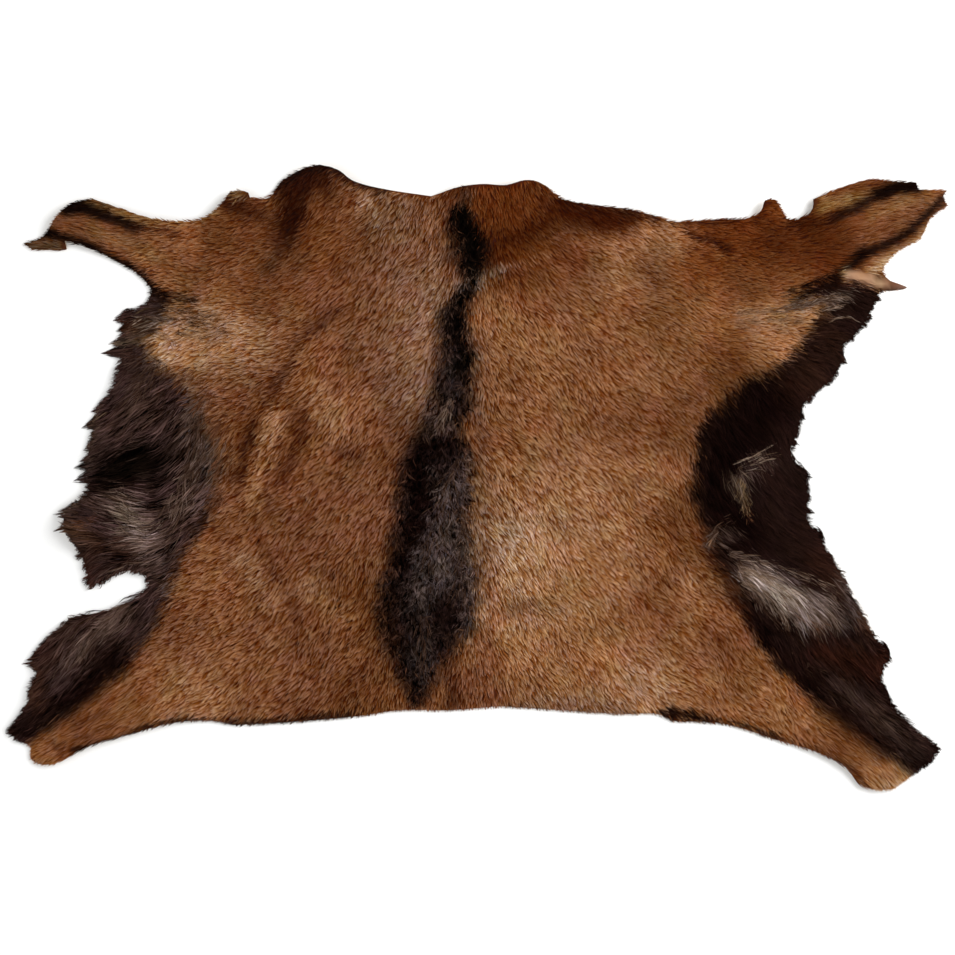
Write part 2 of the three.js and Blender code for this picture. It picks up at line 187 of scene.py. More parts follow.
# The ground colour of the coat, blended between these places: x, y and the colour's name.
GROUND = [
    (-298, 228, "russet"), (-250, 244, "bay"), (-172, 192, "chestnut"), (-146, 258, "bay"),
    (-146, 224, "bay"), (-88, 262, "dun"), (-76, 205, "dun"), (-50, 178, "pale_dun"), (-90, 140, "dun"),
    (-66, 88, "pale_dun"), (-134, 176, "chestnut"), (-232, 142, "rose_fawn"), (-230, 178, "bay"),
    (-280, 128, "rose_fawn"), (-166, 118, "russet"), (-126, 124, "chestnut"), (-246, 60, "bay"),
    (-218, 46, "bay"), (-262, 96, "dun"), (-246, 82, "chestnut"), (-178, 52, "bay"), (-136, 56, "tawny"),
    (-98, 34, "chestnut"), (-228, -6, "bay"), (-252, -30, "chestnut"), (-186, -24, "chestnut"),
    (-146, -50, "chestnut"), (-106, -44, "chestnut"), (-240, -64, "russet"), (-196, -88, "chestnut"),
    (-128, -124, "bay"), (-278, -104, "russet"), (-238, -152, "russet"), (-166, -184, "chestnut"),
    (-116, -214, "bay"), (-300, -164, "chestnut"), (-298, -210, "fawn"), (-340, -202, "russet"),
    (-360, -234, "russet"), (-392, -254, "chestnut"), (-430, -274, "tawny"), (-360, 244, "chestnut"),
    (22, 262, "rust"), (24, 216, "rust"), (104, 216, "chestnut"), (172, 240, "fawn"), (142, 206, "fawn"),
    (164, 176, "tawny"), (224, 226, "rust"), (284, 240, "rust"), (340, 236, "rust"), (400, 254, "chestnut"),
    (440, 272, "chestnut"), (222, 156, "tawny"), (274, 180, "bay"), (294, 152, "rose_fawn"),
    (322, 148, "fawn"), (-256, 150, "rose_fawn"), (24, 166, "tawny"), (54, 126, "tawny"),
    (122, 146, "tawny"), (184, 126, "tawny"), (244, 126, "bay"), (14, 76, "russet"), (56, 56, "tawny"),
    (84, -4, "fawn"), (144, 56, "russet"), (194, 56, "chestnut"), (162, -4, "fawn"), (202, -44, "bay"),
    (22, -4, "fawn"), (34, -64, "sand"), (84, -64, "rose_fawn"), (134, -84, "fawn"), (174, -124, "russet"),
    (224, -124, "tawny"), (14, -124, "rose_fawn"), (44, -164, "fawn"), (104, -174, "fawn"),
    (164, -204, "rose_fawn"), (-6, -204, "chestnut"), (244, -172, "chestnut"), (284, -204, "tawny"),
    (222, -214, "tawny"), (324, -234, "russet"), (364, -264, "bay"), (388, -276, "russet"),
    (400, -294, "fawn"), (414, -306, "sand"), (324, -250, "tawny"),
]

# How strongly the hairs differ in tone at some places: x, y and their contrast.
CONTRAST = [
    (-180, 10, 1.7), (-130, -140, 1.65), (-250, -90, 1.6), (-130, 130, 1.55), (-60, 250, 1.5),
    (-210, 210, 0.95), (-290, 150, 0.7), (-330, 245, 0.9), (-380, -245, 1.1), (0, 80, 1.6), (40, 10, 1.55),
    (10, -110, 1.2), (60, 255, 0.8), (70, 120, 1.4), (130, 190, 0.95), (90, -110, 0.8), (180, 90, 1.05),
    (190, -70, 1.4), (240, -170, 1.1), (210, 205, 0.65), (290, 165, 0.5), (400, 250, 1.0), (380, -280, 1.1),
    (-300, 60, 1.6), (-370, 20, 1.4), (-300, -60, 1.55), (-380, -40, 1.05), (-380, -180, 1.2),
    (300, 70, 0.25), (300, -40, 0.4), (320, -120, 0.8), (380, -220, 1.1), (360, 150, 0.5),
]

# Strokes of colour laid over the ground one after another: colour, strength, half width, softness, points.
STROKES = [
    # the left shoulder and neck
    # painted shade where the rim curls up behind the left neck
    ("umber", 0.95, 9, 9, [(-202, 294), (-180, 303), (-156, 306)]),
    # painted shade down the shaded slope of the fold behind the neck, in this stroke and the next
    ("umber", 1.0, 14, 11, [(-176, 300), (-184, 276), (-188, 250)]),
    ("umber", 0.6, 7, 11, [(-188, 250), (-198, 232), (-208, 212)]),
    ("olive_brown", 0.5, 4, 7, [(-204, 226), (-208, 212)]),
    ("umber", 0.8, 6, 8, [(-252, 276), (-236, 270), (-214, 266)]),
    # painted shade where the rim curls up
    ("umber", 0.85, 11, 10, [(-172, 300), (-150, 292)]),
    # painted shade along the rim, where it curls up
    ("black_brown", 0.85, 3.5, 4,
     [(-200, 294), (-180, 306), (-158, 311), (-138, 305), (-124, 297), (-94, 289)]),
    ("pink_sand", 0.5, 4, 7, [(-114, 282), (-98, 262)]),
    ("pale_dun", 0.35, 12, 14, [(-62, 190), (-46, 168), (-52, 140)]),
    # painted shade in the creases, along the lines of CREASES, in this stroke and the next two
    ("umber", 0.7, 4, 7, [(-142, 168), (-178, 138), (-194, 106), (-210, 76)]),
    ("umber", 0.9, 5, 8, [(-225, 56), (-233, 28), (-238, 4)]),
    ("umber", 0.55, 6, 9, [(-176, 62), (-182, 34), (-192, -2)]),
    ("umber", 0.45, 7, 9, [(-138, 32), (-118, 22)]),
    # painted highlight along the crest of a fold, in this stroke and the next
    ("rose_fawn", 0.8, 7, 7, [(-196, 66), (-208, 34)]),
    ("fawn", 0.75, 7, 8, [(-209, 34), (-218, 4), (-225, -20)]),
    ("rose_fawn", 0.45, 12, 12, [(-158, 84), (-140, 52)]),
    # painted highlight on two fold ridges, in this stroke and the next
    ("rose_fawn", 0.5, 8, 11, [(-230, -78), (-218, -102), (-204, -124)]),
    ("rose_fawn", 0.4, 10, 13, [(-172, -108), (-150, -122), (-130, -140)]),
    # painted shade in the crease between them
    ("umber", 0.4, 3, 6, [(-214, -62), (-204, -88), (-186, -122), (-178, -150)]),
    ("bay", 0.4, 14, 16, [(-110, -150), (-84, -190)]),
    ("umber", 0.25, 10, 14, [(-92, 100), (-84, 50), (-86, 10)]),
    # the left armpit
    ("pink_sand", 0.4, 11, 12, [(-306, 162), (-268, 158), (-240, 152)]),
    ("pink_sand", 0.75, 8, 8, [(-322, 144), (-312, 138), (-306, 124)]),
    ("black_brown", 0.75, 3, 6, [(-318, 186), (-300, 181), (-286, 179)]),
    ("grey_brown", 0.8, 4, 5, [(-326, 166), (-314, 161), (-304, 158)]),
    ("black", 0.95, 7, 6, [(-334, 196), (-322, 184), (-314, 174)]),
    # the left foreleg
    ("black", 0.95, 8.5, 4, [(-408, 270), (-392, 273), (-374, 267)]),
    ("black_brown", 0.95, 5.5, 4, [(-378, 265), (-358, 258), (-338, 252)]),
    ("umber", 0.8, 2.5, 4, [(-341, 252), (-318, 248), (-298, 244)]),
    ("black", 0.95, 4, 3, [(-457, 235), (-443, 242), (-426, 246)]),
    ("black", 0.95, 4, 3.5, [(-426, 244), (-411, 240), (-390, 233), (-368, 222), (-350, 211)]),
    ("black", 0.95, 6, 6, [(-350, 212), (-332, 198), (-318, 184)]),
    ("fawn", 0.5, 6, 7, [(-366, 238), (-330, 222)]),
    ("olive_brown", 0.8, 4, 4, [(-444, 232), (-418, 232)]),
    ("olive_fawn", 0.75, 3, 4, [(-386, 278), (-358, 267), (-330, 258), (-300, 255)]),
    ("olive_fawn", 0.5, 7, 7, [(-384, 248), (-350, 236), (-318, 222)]),
    ("olive_brown", 0.7, 6, 6, [(-244, 285), (-233, 284)]),
    ("olive_fawn", 0.7, 3, 3, [(-243, 283), (-237, 286)]),
    ("umber", 0.6, 3, 4, [(-254, 274), (-242, 273), (-230, 277)]),
    ("olive_fawn", 0.6, 3, 3, [(-274, 262), (-264, 267)]),
    ("olive_fawn", 0.6, 3, 4, [(-300, 256), (-276, 259), (-262, 268)]),
    # the nape and the right shoulder
    # painted shade in the valley at the nape, in this stroke and the next two
    ("nape_shade_red", 0.95, 12, 11, [(72, 271), (100, 265), (128, 258), (148, 257)]),
    ("nape_shade_red", 0.75, 8, 12, [(14, 242), (44, 244), (72, 262)]),
    ("nape_shade_red", 0.5, 10, 12, [(12, 226), (28, 214)]),
    ("rust", 0.5, 10, 14, [(70, 222), (92, 218)]),
    # a paler patch: partly worn, paler hair, partly painted light on the crest of the fold
    ("rose_fawn", 0.55, 8, 12, [(160, 246), (190, 246), (200, 226)]),
    # painted shade in a small crease
    ("umber", 0.95, 2.6, 3.5, [(206, 246), (226, 241), (250, 231)]),
    ("rose_fawn", 0.55, 1.5, 3, [(206, 240), (222, 235), (240, 225)]),
    ("umber", 0.75, 3, 3, [(190, 255), (222, 257), (262, 259)]),
    # painted shade along the rim where it curls down at the nape
    ("umber", 0.85, 4, 4, [(84, 278), (112, 272), (146, 268), (178, 259)]),
    ("chestnut", 0.35, 8, 8, [(166, 208), (182, 204)]),
    ("bay", 0.5, 9, 10, [(216, 224), (222, 190)]),
    ("umber", 0.35, 16, 16, [(296, 240), (322, 234), (352, 232)]),
    # the right foreleg
    ("olive_fawn", 0.85, 7, 7, [(342, 272), (366, 278), (384, 288)]),
    ("olive_fawn", 0.5, 6, 8, [(392, 262), (420, 276), (444, 284)]),
    ("rust", 0.7, 6, 7, [(376, 290), (404, 296)]),
    ("black", 0.95, 7, 4, [(436, 292), (415, 290), (398, 283)]),
    ("black_brown", 0.9, 5, 5, [(398, 283), (376, 270), (352, 258)]),
    ("umber", 0.6, 5, 8, [(352, 258), (330, 254), (312, 256)]),
    ("black_brown", 0.95, 4, 4, [(470, 286), (449, 267), (427, 244), (402, 232), (382, 223)]),
    ("black", 0.95, 6, 6, [(384, 226), (372, 213), (357, 203), (337, 188), (322, 180)]),
    ("sand", 0.85, 4, 4, [(456, 256), (436, 236), (420, 224)]),
    ("sand", 0.9, 6, 5, [(420, 226), (404, 216), (394, 208)]),
    # the right armpit
    ("rose_fawn", 0.7, 12, 12, [(268, 162), (300, 158), (330, 160)]),
    ("sand", 0.6, 3, 6, [(268, 166), (300, 168), (326, 173)]),
    # the field
    ("fawn", 0.5, 6, 8, [(112, -76), (150, -74), (180, -70)]),
    # painted shade in a crease
    ("bay", 0.7, 4, 7, [(20, -130), (36, -128), (58, -122)]),
    ("sand", 0.35, 8, 10, [(26, -150), (62, -136), (110, -128), (128, -118)]),
    # painted shade in a crease
    ("rust", 0.6, 4, 6, [(164, -118), (174, -108), (190, -98)]),
    ("sand", 0.5, 5, 6, [(204, -96), (212, -102)]),
    # painted shade in a crease
    ("rust", 0.55, 6, 9, [(-20, 36), (10, 38), (36, 30)]),
    ("rust", 0.45, 4, 6, [(8, 116), (12, 102)]),
    ("bay", 0.4, 10, 12, [(190, 50), (214, 40)]),
    ("bay", 0.5, 10, 12, [(8, -160), (14, -184)]),
    ("umber", 0.65, 5, 6, [(-26, -180), (-24, -226)]),
    ("bay", 0.6, 8, 10, [(232, -150), (256, -176), (282, -194)]),
    ("pale_dun", 0.4, 7, 8, [(2, -60), (6, -110), (8, -140)]),
    ("grey_brown", 0.45, 4, 9, [(0, 130), (0, 60), (4, 0), (2, -50), (4, -100)]),
    ("umber", 0.35, 3, 8, [(-66, 70), (-76, 20), (-82, -30), (-90, -70), (-98, -110), (-96, -150)]),
    ("dun", 0.5, 8, 12, [(-270, 96), (-256, 60), (-250, 20), (-258, -30)]),
    ("dun", 0.5, 6, 10, [(2, 146), (4, 90), (6, 40), (8, -10), (8, -60), (8, -130)]),
    ("umber", 0.4, 3, 8, [(-2, 66), (6, 44), (4, 24)]),
    # darker along the rump's edge
    ("black_brown", 0.9, 3.5, 4, [(-403, -272), (-348, -258), (-328, -248), (-303, -243), (-238, -246)]),
    ("black_brown", 0.85, 4, 4, [(-246, -246), (-190, -243), (-124, -237)]),
    ("ash", 0.35, 6, 6, [(50, -221), (100, -225), (150, -228)]),
    ("black_brown", 0.8, 1.5, 2.5, [(28, -229), (60, -231), (100, -234), (150, -236), (188, -238)]),
    ("black", 0.95, 5.5, 4, [(186, -236), (206, -236), (226, -241)]),
    ("black_brown", 0.9, 3, 3, [(224, -240), (262, -247), (300, -260)]),
    ("umber", 0.75, 2.5, 3.5, [(300, -260), (350, -279), (376, -294), (386, -310)]),
    ("umber", 0.4, 3, 4, [(-403, -246), (-372, -232)]),
    ("umber", 0.35, 2, 3, [(-420, -266), (-392, -258), (-362, -246)]),
    ("umber", 0.5, 3, 4, [(-424, -262), (-414, -274)]),
]

# Strokes over the belly and the dorsal stripe, once those are dark.
LATE_STROKES = [
    # black belly hair, deepened with painted shadow in the fold of the flank, in this stroke and the next
    ("pitch", 0.9, 17, 13, [(-358, 10), (-332, 12), (-316, 26)]),
    ("black", 0.85, 9, 10, [(-376, -12), (-340, -8)]),
    # grey hair, lightened with painted light on the side of the ridge that faces the lamp
    ("grey_brown", 0.7, 9, 12, [(-286, 48), (-280, 12), (-284, -22)]),
    ("olive_brown", 0.6, 9, 10, [(-384, 68), (-390, 32), (-396, 10)]),
    ("grey_brown", 0.85, 15, 13, [(-350, -28), (-334, -44), (-320, -62)]),
    ("ash", 0.35, 9, 12, [(-342, -34), (-322, -54)]),
    ("grey_brown", 0.45, 5, 10, [(-290, 92), (-270, 52), (-262, 8), (-268, -36)]),
    ("grey_brown", 0.5, 5, 9, [(-336, 142), (-328, 126), (-312, 110), (-298, 96)]),
    ("dun", 0.55, 5, 7, [(-402, -46), (-384, -56)]),
    ("olive_brown", 0.5, 5, 6, [(-408, -34), (-396, -26)]),
    ("brown_black", 0.7, 7, 9, [(-372, -66), (-340, -74)]),
    ("umber", 0.5, 8, 8, [(-386, -82), (-386, -100)]),
    ("grey_brown", 0.6, 2.5, 4, [(-368, -92), (-340, -86)]),
    ("grey_brown", 0.45, 6, 8, [(-318, -84), (-312, -108)]),
    ("grey_brown", 0.6, 6, 8, [(-364, -138), (-388, -158), (-402, -184)]),
    ("grey_brown", 0.45, 8, 8, [(-352, -134), (-372, -142)]),
    ("black", 0.9, 13, 12, [(-356, -178), (-396, -212), (-450, -248)]),
    ("brown_black", 0.7, 9, 10, [(-434, -170), (-438, -220)]),
    ("brown_black", 0.9, 7, 5, [(-368, 158), (-346, 153), (-334, 152)]),
    ("olive_brown", 0.7, 4, 4, [(-366, 136), (-340, 138)]),
    ("sand", 0.5, 2, 3, [(-344, 147), (-326, 146)]),
    ("pale_grey", 0.5, 1.5, 2.5, [(-338, 160), (-322, 156), (-308, 156)]),
    # the bare leather
    ("sand", 0.95, 5, 4, [(368, 205), (388, 200), (406, 195)]),
    ("olive_brown", 0.5, 2, 3, [(398, 204), (412, 199)]),
    ("ash", 0.8, 3, 4, [(416, 192), (432, 191)]),
    # the right flank
    # black belly hair, deepened with painted shadow beside the brown field
    ("black", 0.9, 20, 16, [(296, 88), (268, 70), (246, 30), (240, -10), (262, -44)]),
    ("brown_black", 0.45, 12, 14, [(350, 146), (334, 112), (312, 92)]),
    ("ash", 0.7, 3.5, 5, [(316, 172), (342, 178), (366, 180)]),
    ("grey_brown", 0.6, 3, 5, [(250, -46), (240, -56), (230, -70)]),
    ("grey_brown", 0.7, 4, 6, [(286, 26), (262, 14), (252, 2)]),
    ("cream", 0.35, 3, 5, [(258, 8), (258, -8), (260, -20)]),
    # grey hair, lightened with a painted sheen where the bulge of the fold catches the light, in this stroke
    # and the next two
    ("grey_brown", 0.8, 12, 10, [(264, -88), (296, -108), (336, -134)]),
    ("silver", 0.85, 9, 9, [(266, -92), (290, -102), (314, -116), (324, -128)]),
    ("ash", 0.5, 5, 8, [(300, -104), (334, -120), (356, -134)]),
    ("brown_black", 0.7, 12, 12, [(330, -72), (350, -96)]),
    ("umber", 0.55, 12, 14, [(342, -164), (370, -174), (402, -184)]),
    ("ash", 0.6, 3, 5, [(352, -94), (363, -112), (373, -132)]),
    ("dun", 0.6, 4, 6, [(378, -134), (388, -148)]),
    # painted shade on the side of the bulge away from the light
    ("umber", 0.7, 5, 7, [(230, -76), (239, -92), (251, -112), (263, -134)]),
    ("black", 0.8, 9, 10, [(274, -144), (300, -172), (336, -206)]),
    ("grey_brown", 0.35, 8, 10, [(352, -200), (380, -216), (430, -268)]),
    ("black", 0.6, 8, 10, [(342, -224), (372, -248), (404, -272)]),
    # the dorsal stripe
    ("dun", 0.5, 6, 8, [(-8, 293), (-12, 272)]),
    ("pitch", 0.95, 9, 6, [(-17, 266), (-10, 250), (-5, 236), (-6, 218), (-4, 206)]),
    ("pitch", 0.85, 7, 7, [(-8, 192), (-18, 172), (-19, 150), (-16, 128), (-14, 106)]),
    ("silver", 0.5, 2.5, 4, [(-18, 193), (-8, 198)]),
    ("silver", 0.6, 3, 4, [(2, 197), (12, 203), (24, 209)]),
    ("grey_brown", 0.7, 3, 5, [(-22, 195), (-8, 200), (6, 204), (22, 210)]),
    ("rose_fawn", 0.6, 2, 4, [(22, 210), (44, 216), (66, 222)]),
    ("stripe_grey", 0.4, 6, 8, [(-26, 122), (-24, 96), (-24, 76)]),
    ("grey_brown", 0.55, 8, 8, [(-40, 66), (-34, 60), (-36, 48)]),
    ("stripe_grey", 0.9, 8, 9, [(-14, 14), (-24, -10), (-36, -40), (-50, -70)]),
    ("stripe_grey", 0.9, 14, 12, [(-30, -20), (-34, -60), (-38, -100)]),
    ("stripe_grey", 0.85, 10, 10, [(-60, -80), (-56, -112)]),
    ("stripe_grey", 0.8, 7, 8, [(-12, -60), (-10, -100), (-8, -150)]),
    ("stripe_grey", 0.6, 11, 12, [(-62, -130), (-58, -164), (-52, -192)]),
    ("grey_brown", 0.45, 5, 6, [(-16, 16), (-10, 4)]),
    ("ash", 0.5, 2.5, 4, [(-51, 6), (-46, 4)]),
    ("dun", 0.5, 5, 9, [(-3, 24), (-4, -10), (-8, -48), (-4, -80)]),
    ("bay", 0.5, 4, 7, [(-20, -166), (-36, -190), (-48, -214)]),
    ("black", 0.9, 5, 10, [(-66, 26), (-44, 36), (-22, 38)]),
    # black hair on the stripe's left edge, deepened with painted shade on the shaded side of the spine's
    # ridge
    ("black", 0.85, 8, 7, [(-62, 12), (-54, -16), (-64, -50), (-74, -80)]),
    ("black", 0.45, 8, 8, [(-70, -138), (-62, -150)]),
    ("black", 0.55, 8, 9, [(-38, -134), (-22, -146)]),
    ("brown_black", 0.6, 10, 9, [(-90, -122), (-84, -160)]),
    ("black", 0.8, 4, 5, [(-66, -200), (-62, -222)]),
]

# Named colours of the coat, as sRGB hex values of its look from a step away.
PALETTE = {
    "bay": "#5e351c",
    "chestnut": "#6b4029",
    "russet": "#774a2e",
    "tawny": "#845536",
    "fawn": "#906242",
    "rose_fawn": "#9e7254",
    "dun": "#6e4934",
    "pale_dun": "#7c5843",
    "rust": "#57290f",
    "umber": "#2c1006",
    # the colour of the painted shade in the nape's valley
    "nape_shade_red": "#381405",
    "sand": "#9f7c60",
    "cream": "#977d5e",
    "brown_black": "#27130a",
    "belly_brown": "#2b1b16",
    "black_brown": "#150906",
    "black": "#0a0302",
    "pitch": "#040201",
    "stripe_black": "#150b08",
    "stripe_grey": "#3a2d28",
    "grey_brown": "#523e33",
    "olive_brown": "#4a3a2a",
    "olive_fawn": "#7e5d3a",
    "pink_sand": "#a98a79",
    "ash": "#6c594f",
    "silver": "#897669",
    "pale_grey": "#a28e7e",
}

# Tufts that stand out past the rim: root, tip and width at the root.
TUFTS = [
    ((-350, 161), (-368, 158), 14), ((-352, 127), (-380, 125), 12), ((-370, 72), (-390, 66), 16),
    ((-346, 152), (-364, 147), 12), ((-350, 138), (-373, 134), 12), ((-380, 34), (-397, 28), 14),
    ((-382, 22), (-402, 16), 12), ((-378, 56), (-399, 50), 16), ((-382, 14), (-407, 10), 14),
    ((-384, 2), (-408, -3), 14), ((-400, -34), (-428, -37), 16), ((-398, -46), (-428, -54), 18),
    ((-436, -184), (-460, -187), 20), ((-440, -216), (-455, -214), 16), ((360, 122), (372, 114), 12),
    ((330, 90), (340, 80), 16), ((320, 64), (330, 58), 12), ((322, 4), (337, 0), 14),
    ((322, -30), (340, -36), 8), ((340, -60), (350, -66), 14), ((404, -176), (418, -187), 16),
    ((404, -218), (418, -228), 14),
]

# Locks that lie over the coat along a curve: points, spread, hairs, length of a hair, colour.
LOCKS = [
    # the right flank's white strands and cream tuft
    ([(254, 14), (270, 19), (286, 28), (298, 34), (308, 33)], 2, 22, 22, "pale_grey"),
    ([(256, 6), (272, 13), (288, 19), (304, 20)], 4, 34, 18, "pale_grey"),
    ([(250, -6), (262, 4), (278, 8), (294, 4)], 2.5, 24, 18, "silver"),
    ([(270, 24), (284, 22), (298, 12)], 4, 14, 16, "ash"),
    ([(265, 0), (265, -12), (266, -24)], 6, 160, 9, "cream"),
    ([(266, -16), (267, -28), (269, -40)], 5, 130, 9, "cream"),
    ([(268, -28), (270, -38), (273, -46)], 3, 30, 9, "dun"),
    ([(256, -40), (244, -48), (236, -58), (228, -72)], 5, 50, 12, "grey_brown"),
    ([(240, -54), (232, -62), (226, -72)], 5, 34, 11, "ash"),
    ([(236, -60), (230, -68)], 3, 14, 9, "sand"),
    # the silver swirl behind them: grey hair, with a painted sheen where the bulge of the fold catches the
    # light
    ([(252, -76), (280, -83), (315, -99), (355, -120), (378, -142)], 7, 170, 22, "ash"),
    ([(260, -92), (284, -99), (310, -116), (332, -136), (342, -158)], 7, 240, 19, "silver"),
    ([(264, -104), (284, -114), (302, -132), (314, -154)], 6, 170, 18, "silver"),
    ([(298, -112), (326, -124), (352, -140), (362, -160)], 8, 150, 19, "ash"),
    ([(258, -84), (267, -101), (278, -120), (286, -136)], 4, 80, 16, "ash"),
    ([(264, -93), (282, -99), (300, -110)], 5, 130, 15, "pale_grey"),
    ([(272, -94), (296, -106), (318, -120), (328, -132)], 7, 150, 17, "pale_grey"),
    ([(262, -80), (290, -84), (330, -100), (366, -122)], 5, 90, 22, "silver"),
    ([(264, -112), (288, -130), (310, -152), (324, -172)], 9, 110, 18, "grey_brown"),
    ([(296, -124), (328, -142), (352, -160)], 9, 100, 18, "dun"),
    ([(296, -110), (312, -122), (326, -138)], 4, 70, 16, "silver"),
    # dark and pale hairs drawn out behind both forelegs
    ([(-318, 185), (-300, 181), (-276, 180)], 5, 34, 14, "black_brown"),
    ([(-316, 174), (-296, 168), (-268, 165)], 6, 30, 15, "umber"),
    ([(-308, 158), (-286, 154), (-262, 157)], 7, 26, 15, "umber"),
    ([(-300, 149), (-276, 145), (-246, 150)], 6, 16, 15, "umber"),
    ([(-310, 164), (-284, 160), (-250, 160)], 10, 60, 17, "sand"),
    ([(-302, 146), (-278, 143), (-250, 148)], 9, 34, 17, "sand"),
    ([(312, 188), (338, 197), (362, 208)], 4, 30, 16, "black_brown"),
    ([(304, 180), (326, 184), (352, 192)], 6, 22, 16, "black_brown"),
    ([(262, 158), (296, 156), (334, 159)], 9, 80, 16, "sand"),
    ([(262, 166), (292, 168), (316, 171)], 3, 50, 16, "sand"),
    # the pale streak behind the right foreleg
    ([(300, 168), (322, 173), (342, 178), (364, 180)], 4, 60, 18, "ash"),
    ([(330, 173), (346, 179), (362, 181), (374, 178)], 3, 40, 16, "silver"),
    ([(350, 154), (358, 160), (370, 162), (384, 156)], 1.8, 18, 14, "silver"),
    ([(338, 167), (352, 170), (370, 173)], 2.5, 20, 13, "silver"),
    # grey wool across the stripe
    ([(-26, 78), (-34, 62), (-44, 44)], 8, 70, 11, "ash"),
    ([(-30, 70), (-38, 56)], 6, 26, 10, "silver"),
    ([(-18, 18), (-30, -14), (-42, -52), (-52, -96)], 12, 150, 12, "grey_brown"),
    ([(-10, -40), (-16, -90), (-22, -134)], 9, 90, 12, "grey_brown"),
    ([(-54, -140), (-54, -170), (-56, -200)], 8, 60, 12, "grey_brown"),
    # the left flank
    ([(-330, 172), (-345, 167), (-362, 160)], 6, 40, 14, "olive_brown"),
    ([(-318, 150), (-336, 147), (-356, 140)], 5, 40, 14, "grey_brown"),
    ([(-336, 162), (-320, 159), (-304, 157)], 3, 34, 15, "ash"),
    ([(-326, 146), (-312, 140), (-300, 130)], 5, 30, 11, "sand"),
    ([(-294, 0), (-298, -34), (-314, -60), (-334, -64), (-352, -44), (-366, -22)], 8, 200, 22, "ash"),
    ([(-306, -16), (-318, -42), (-336, -46), (-350, -28), (-360, -8)], 8, 170, 20, "ash"),
    ([(-312, -40), (-330, -56), (-346, -42)], 6, 60, 16, "silver"),
    ([(-278, 62), (-282, 26), (-294, -4)], 10, 130, 17, "grey_brown"),
    ([(-286, 108), (-308, 88)], 12, 50, 13, "dun"),
    ([(-268, 88), (-290, 64)], 12, 60, 13, "dun"),
    ([(-254, 58), (-272, 34)], 12, 60, 13, "dun"),
    ([(-250, 22), (-266, -4)], 12, 50, 13, "dun"),
    ([(-256, -14), (-272, -38)], 10, 40, 12, "dun"),
    ([(-274, 82), (-298, 56)], 12, 40, 14, "ash"),
    ([(-258, 40), (-276, 12)], 12, 36, 14, "ash"),
    ([(-322, 118), (-340, 86), (-356, 58), (-376, 40)], 14, 150, 19, "grey_brown"),
    ([(-378, -36), (-392, -44), (-408, -46)], 6, 40, 16, "dun"),
    ([(-330, -84), (-350, -87), (-374, -97)], 2, 26, 18, "ash"),
    ([(-350, -128), (-374, -144), (-392, -166), (-402, -192)], 5.5, 110, 20, "ash"),
    ([(-386, -140), (-404, -164), (-420, -190), (-430, -214)], 10, 80, 22, "grey_brown"),
    ([(330, -190), (366, -214), (404, -244), (434, -270)], 12, 90, 22, "grey_brown"),
]

# The bare leather behind the right foreleg, from its point inwards, and its half width.
LEATHER = [(432, 191), (410, 195), (388, 200), (370, 205)]
LEATHER_HALF = 8.5

# The grid that the coat's fields are worked out on: its spacing and half its size.
FIELD_PITCH = 2.0
FIELD_X = 500.0
FIELD_Y = 340.0

HIDE_PITCH = 5.0  # spacing of the hide's points
HIDE_INSET = 1.0  # how far the hide's edge lies inside the rim, under its hair
ROOT_INSET = 0.6  # how far inside the rim the outermost hairs are rooted
RIM_FALL = 12.0  # past the rim the hair sinks towards the floor over this distance
CREASE_PRESS = 0.09  # how much flatter hair lies in a crease, for each millimetre of its depth
NEVER_BELOW = 0.1  # the least height of any hair over the floor

# Widths of the modelled strands that aren't back hair.
MANE_WIDTH = 0.65
BELLY_WIDTH = 0.75
TUFT_WIDTH = 0.8
LOCK_WIDTH = 0.5

# The shares of its length at which a strand has points, for short and for long hair.
SHORT_HAIR = (0.0, 0.45, 1.0)
LONG_HAIR = (0.0, 0.25, 0.5, 0.75, 1.0)

BLEND_POWER = 2.2  # colours are blended as the eye sees them: the root of this power of linear values

# Kinds of hair: how much lighter its own colour is than the coat's look, since hair shades itself, and the
# powers of a tone below and above 1 that its red, green and blue follow. Brown hair reddens as it darkens,
# and so does the shade painted at its roots and between its bunches.
BROWN_HAIR = ((1.70, 2.26, 3.0), (0.75, 1.5, 2.8), (0.8, 1.1, 1.4))
GREY_HAIR = ((1.74, 1.98, 2.2), (0.9, 1.1, 1.3), (0.95, 1.0, 1.05))


def linear(hex_colour):
    """The linear red, green and blue of an sRGB hex value."""
    parts = [int(hex_colour[i:i + 2], 16) / 255 for i in (1, 3, 5)]
    return np.array([c / 12.92 if c <= 0.04045 else ((c + 0.055) / 1.055) ** 2.4 for c in parts])


def toned(value, kind):
    """How much red, green and blue a tone leaves in a kind of hair."""
    _, darker, lighter = kind
    value = np.maximum(value, 1e-4)[..., None]
    return np.where(value < 1, value ** np.array(darker), value ** np.array(lighter))


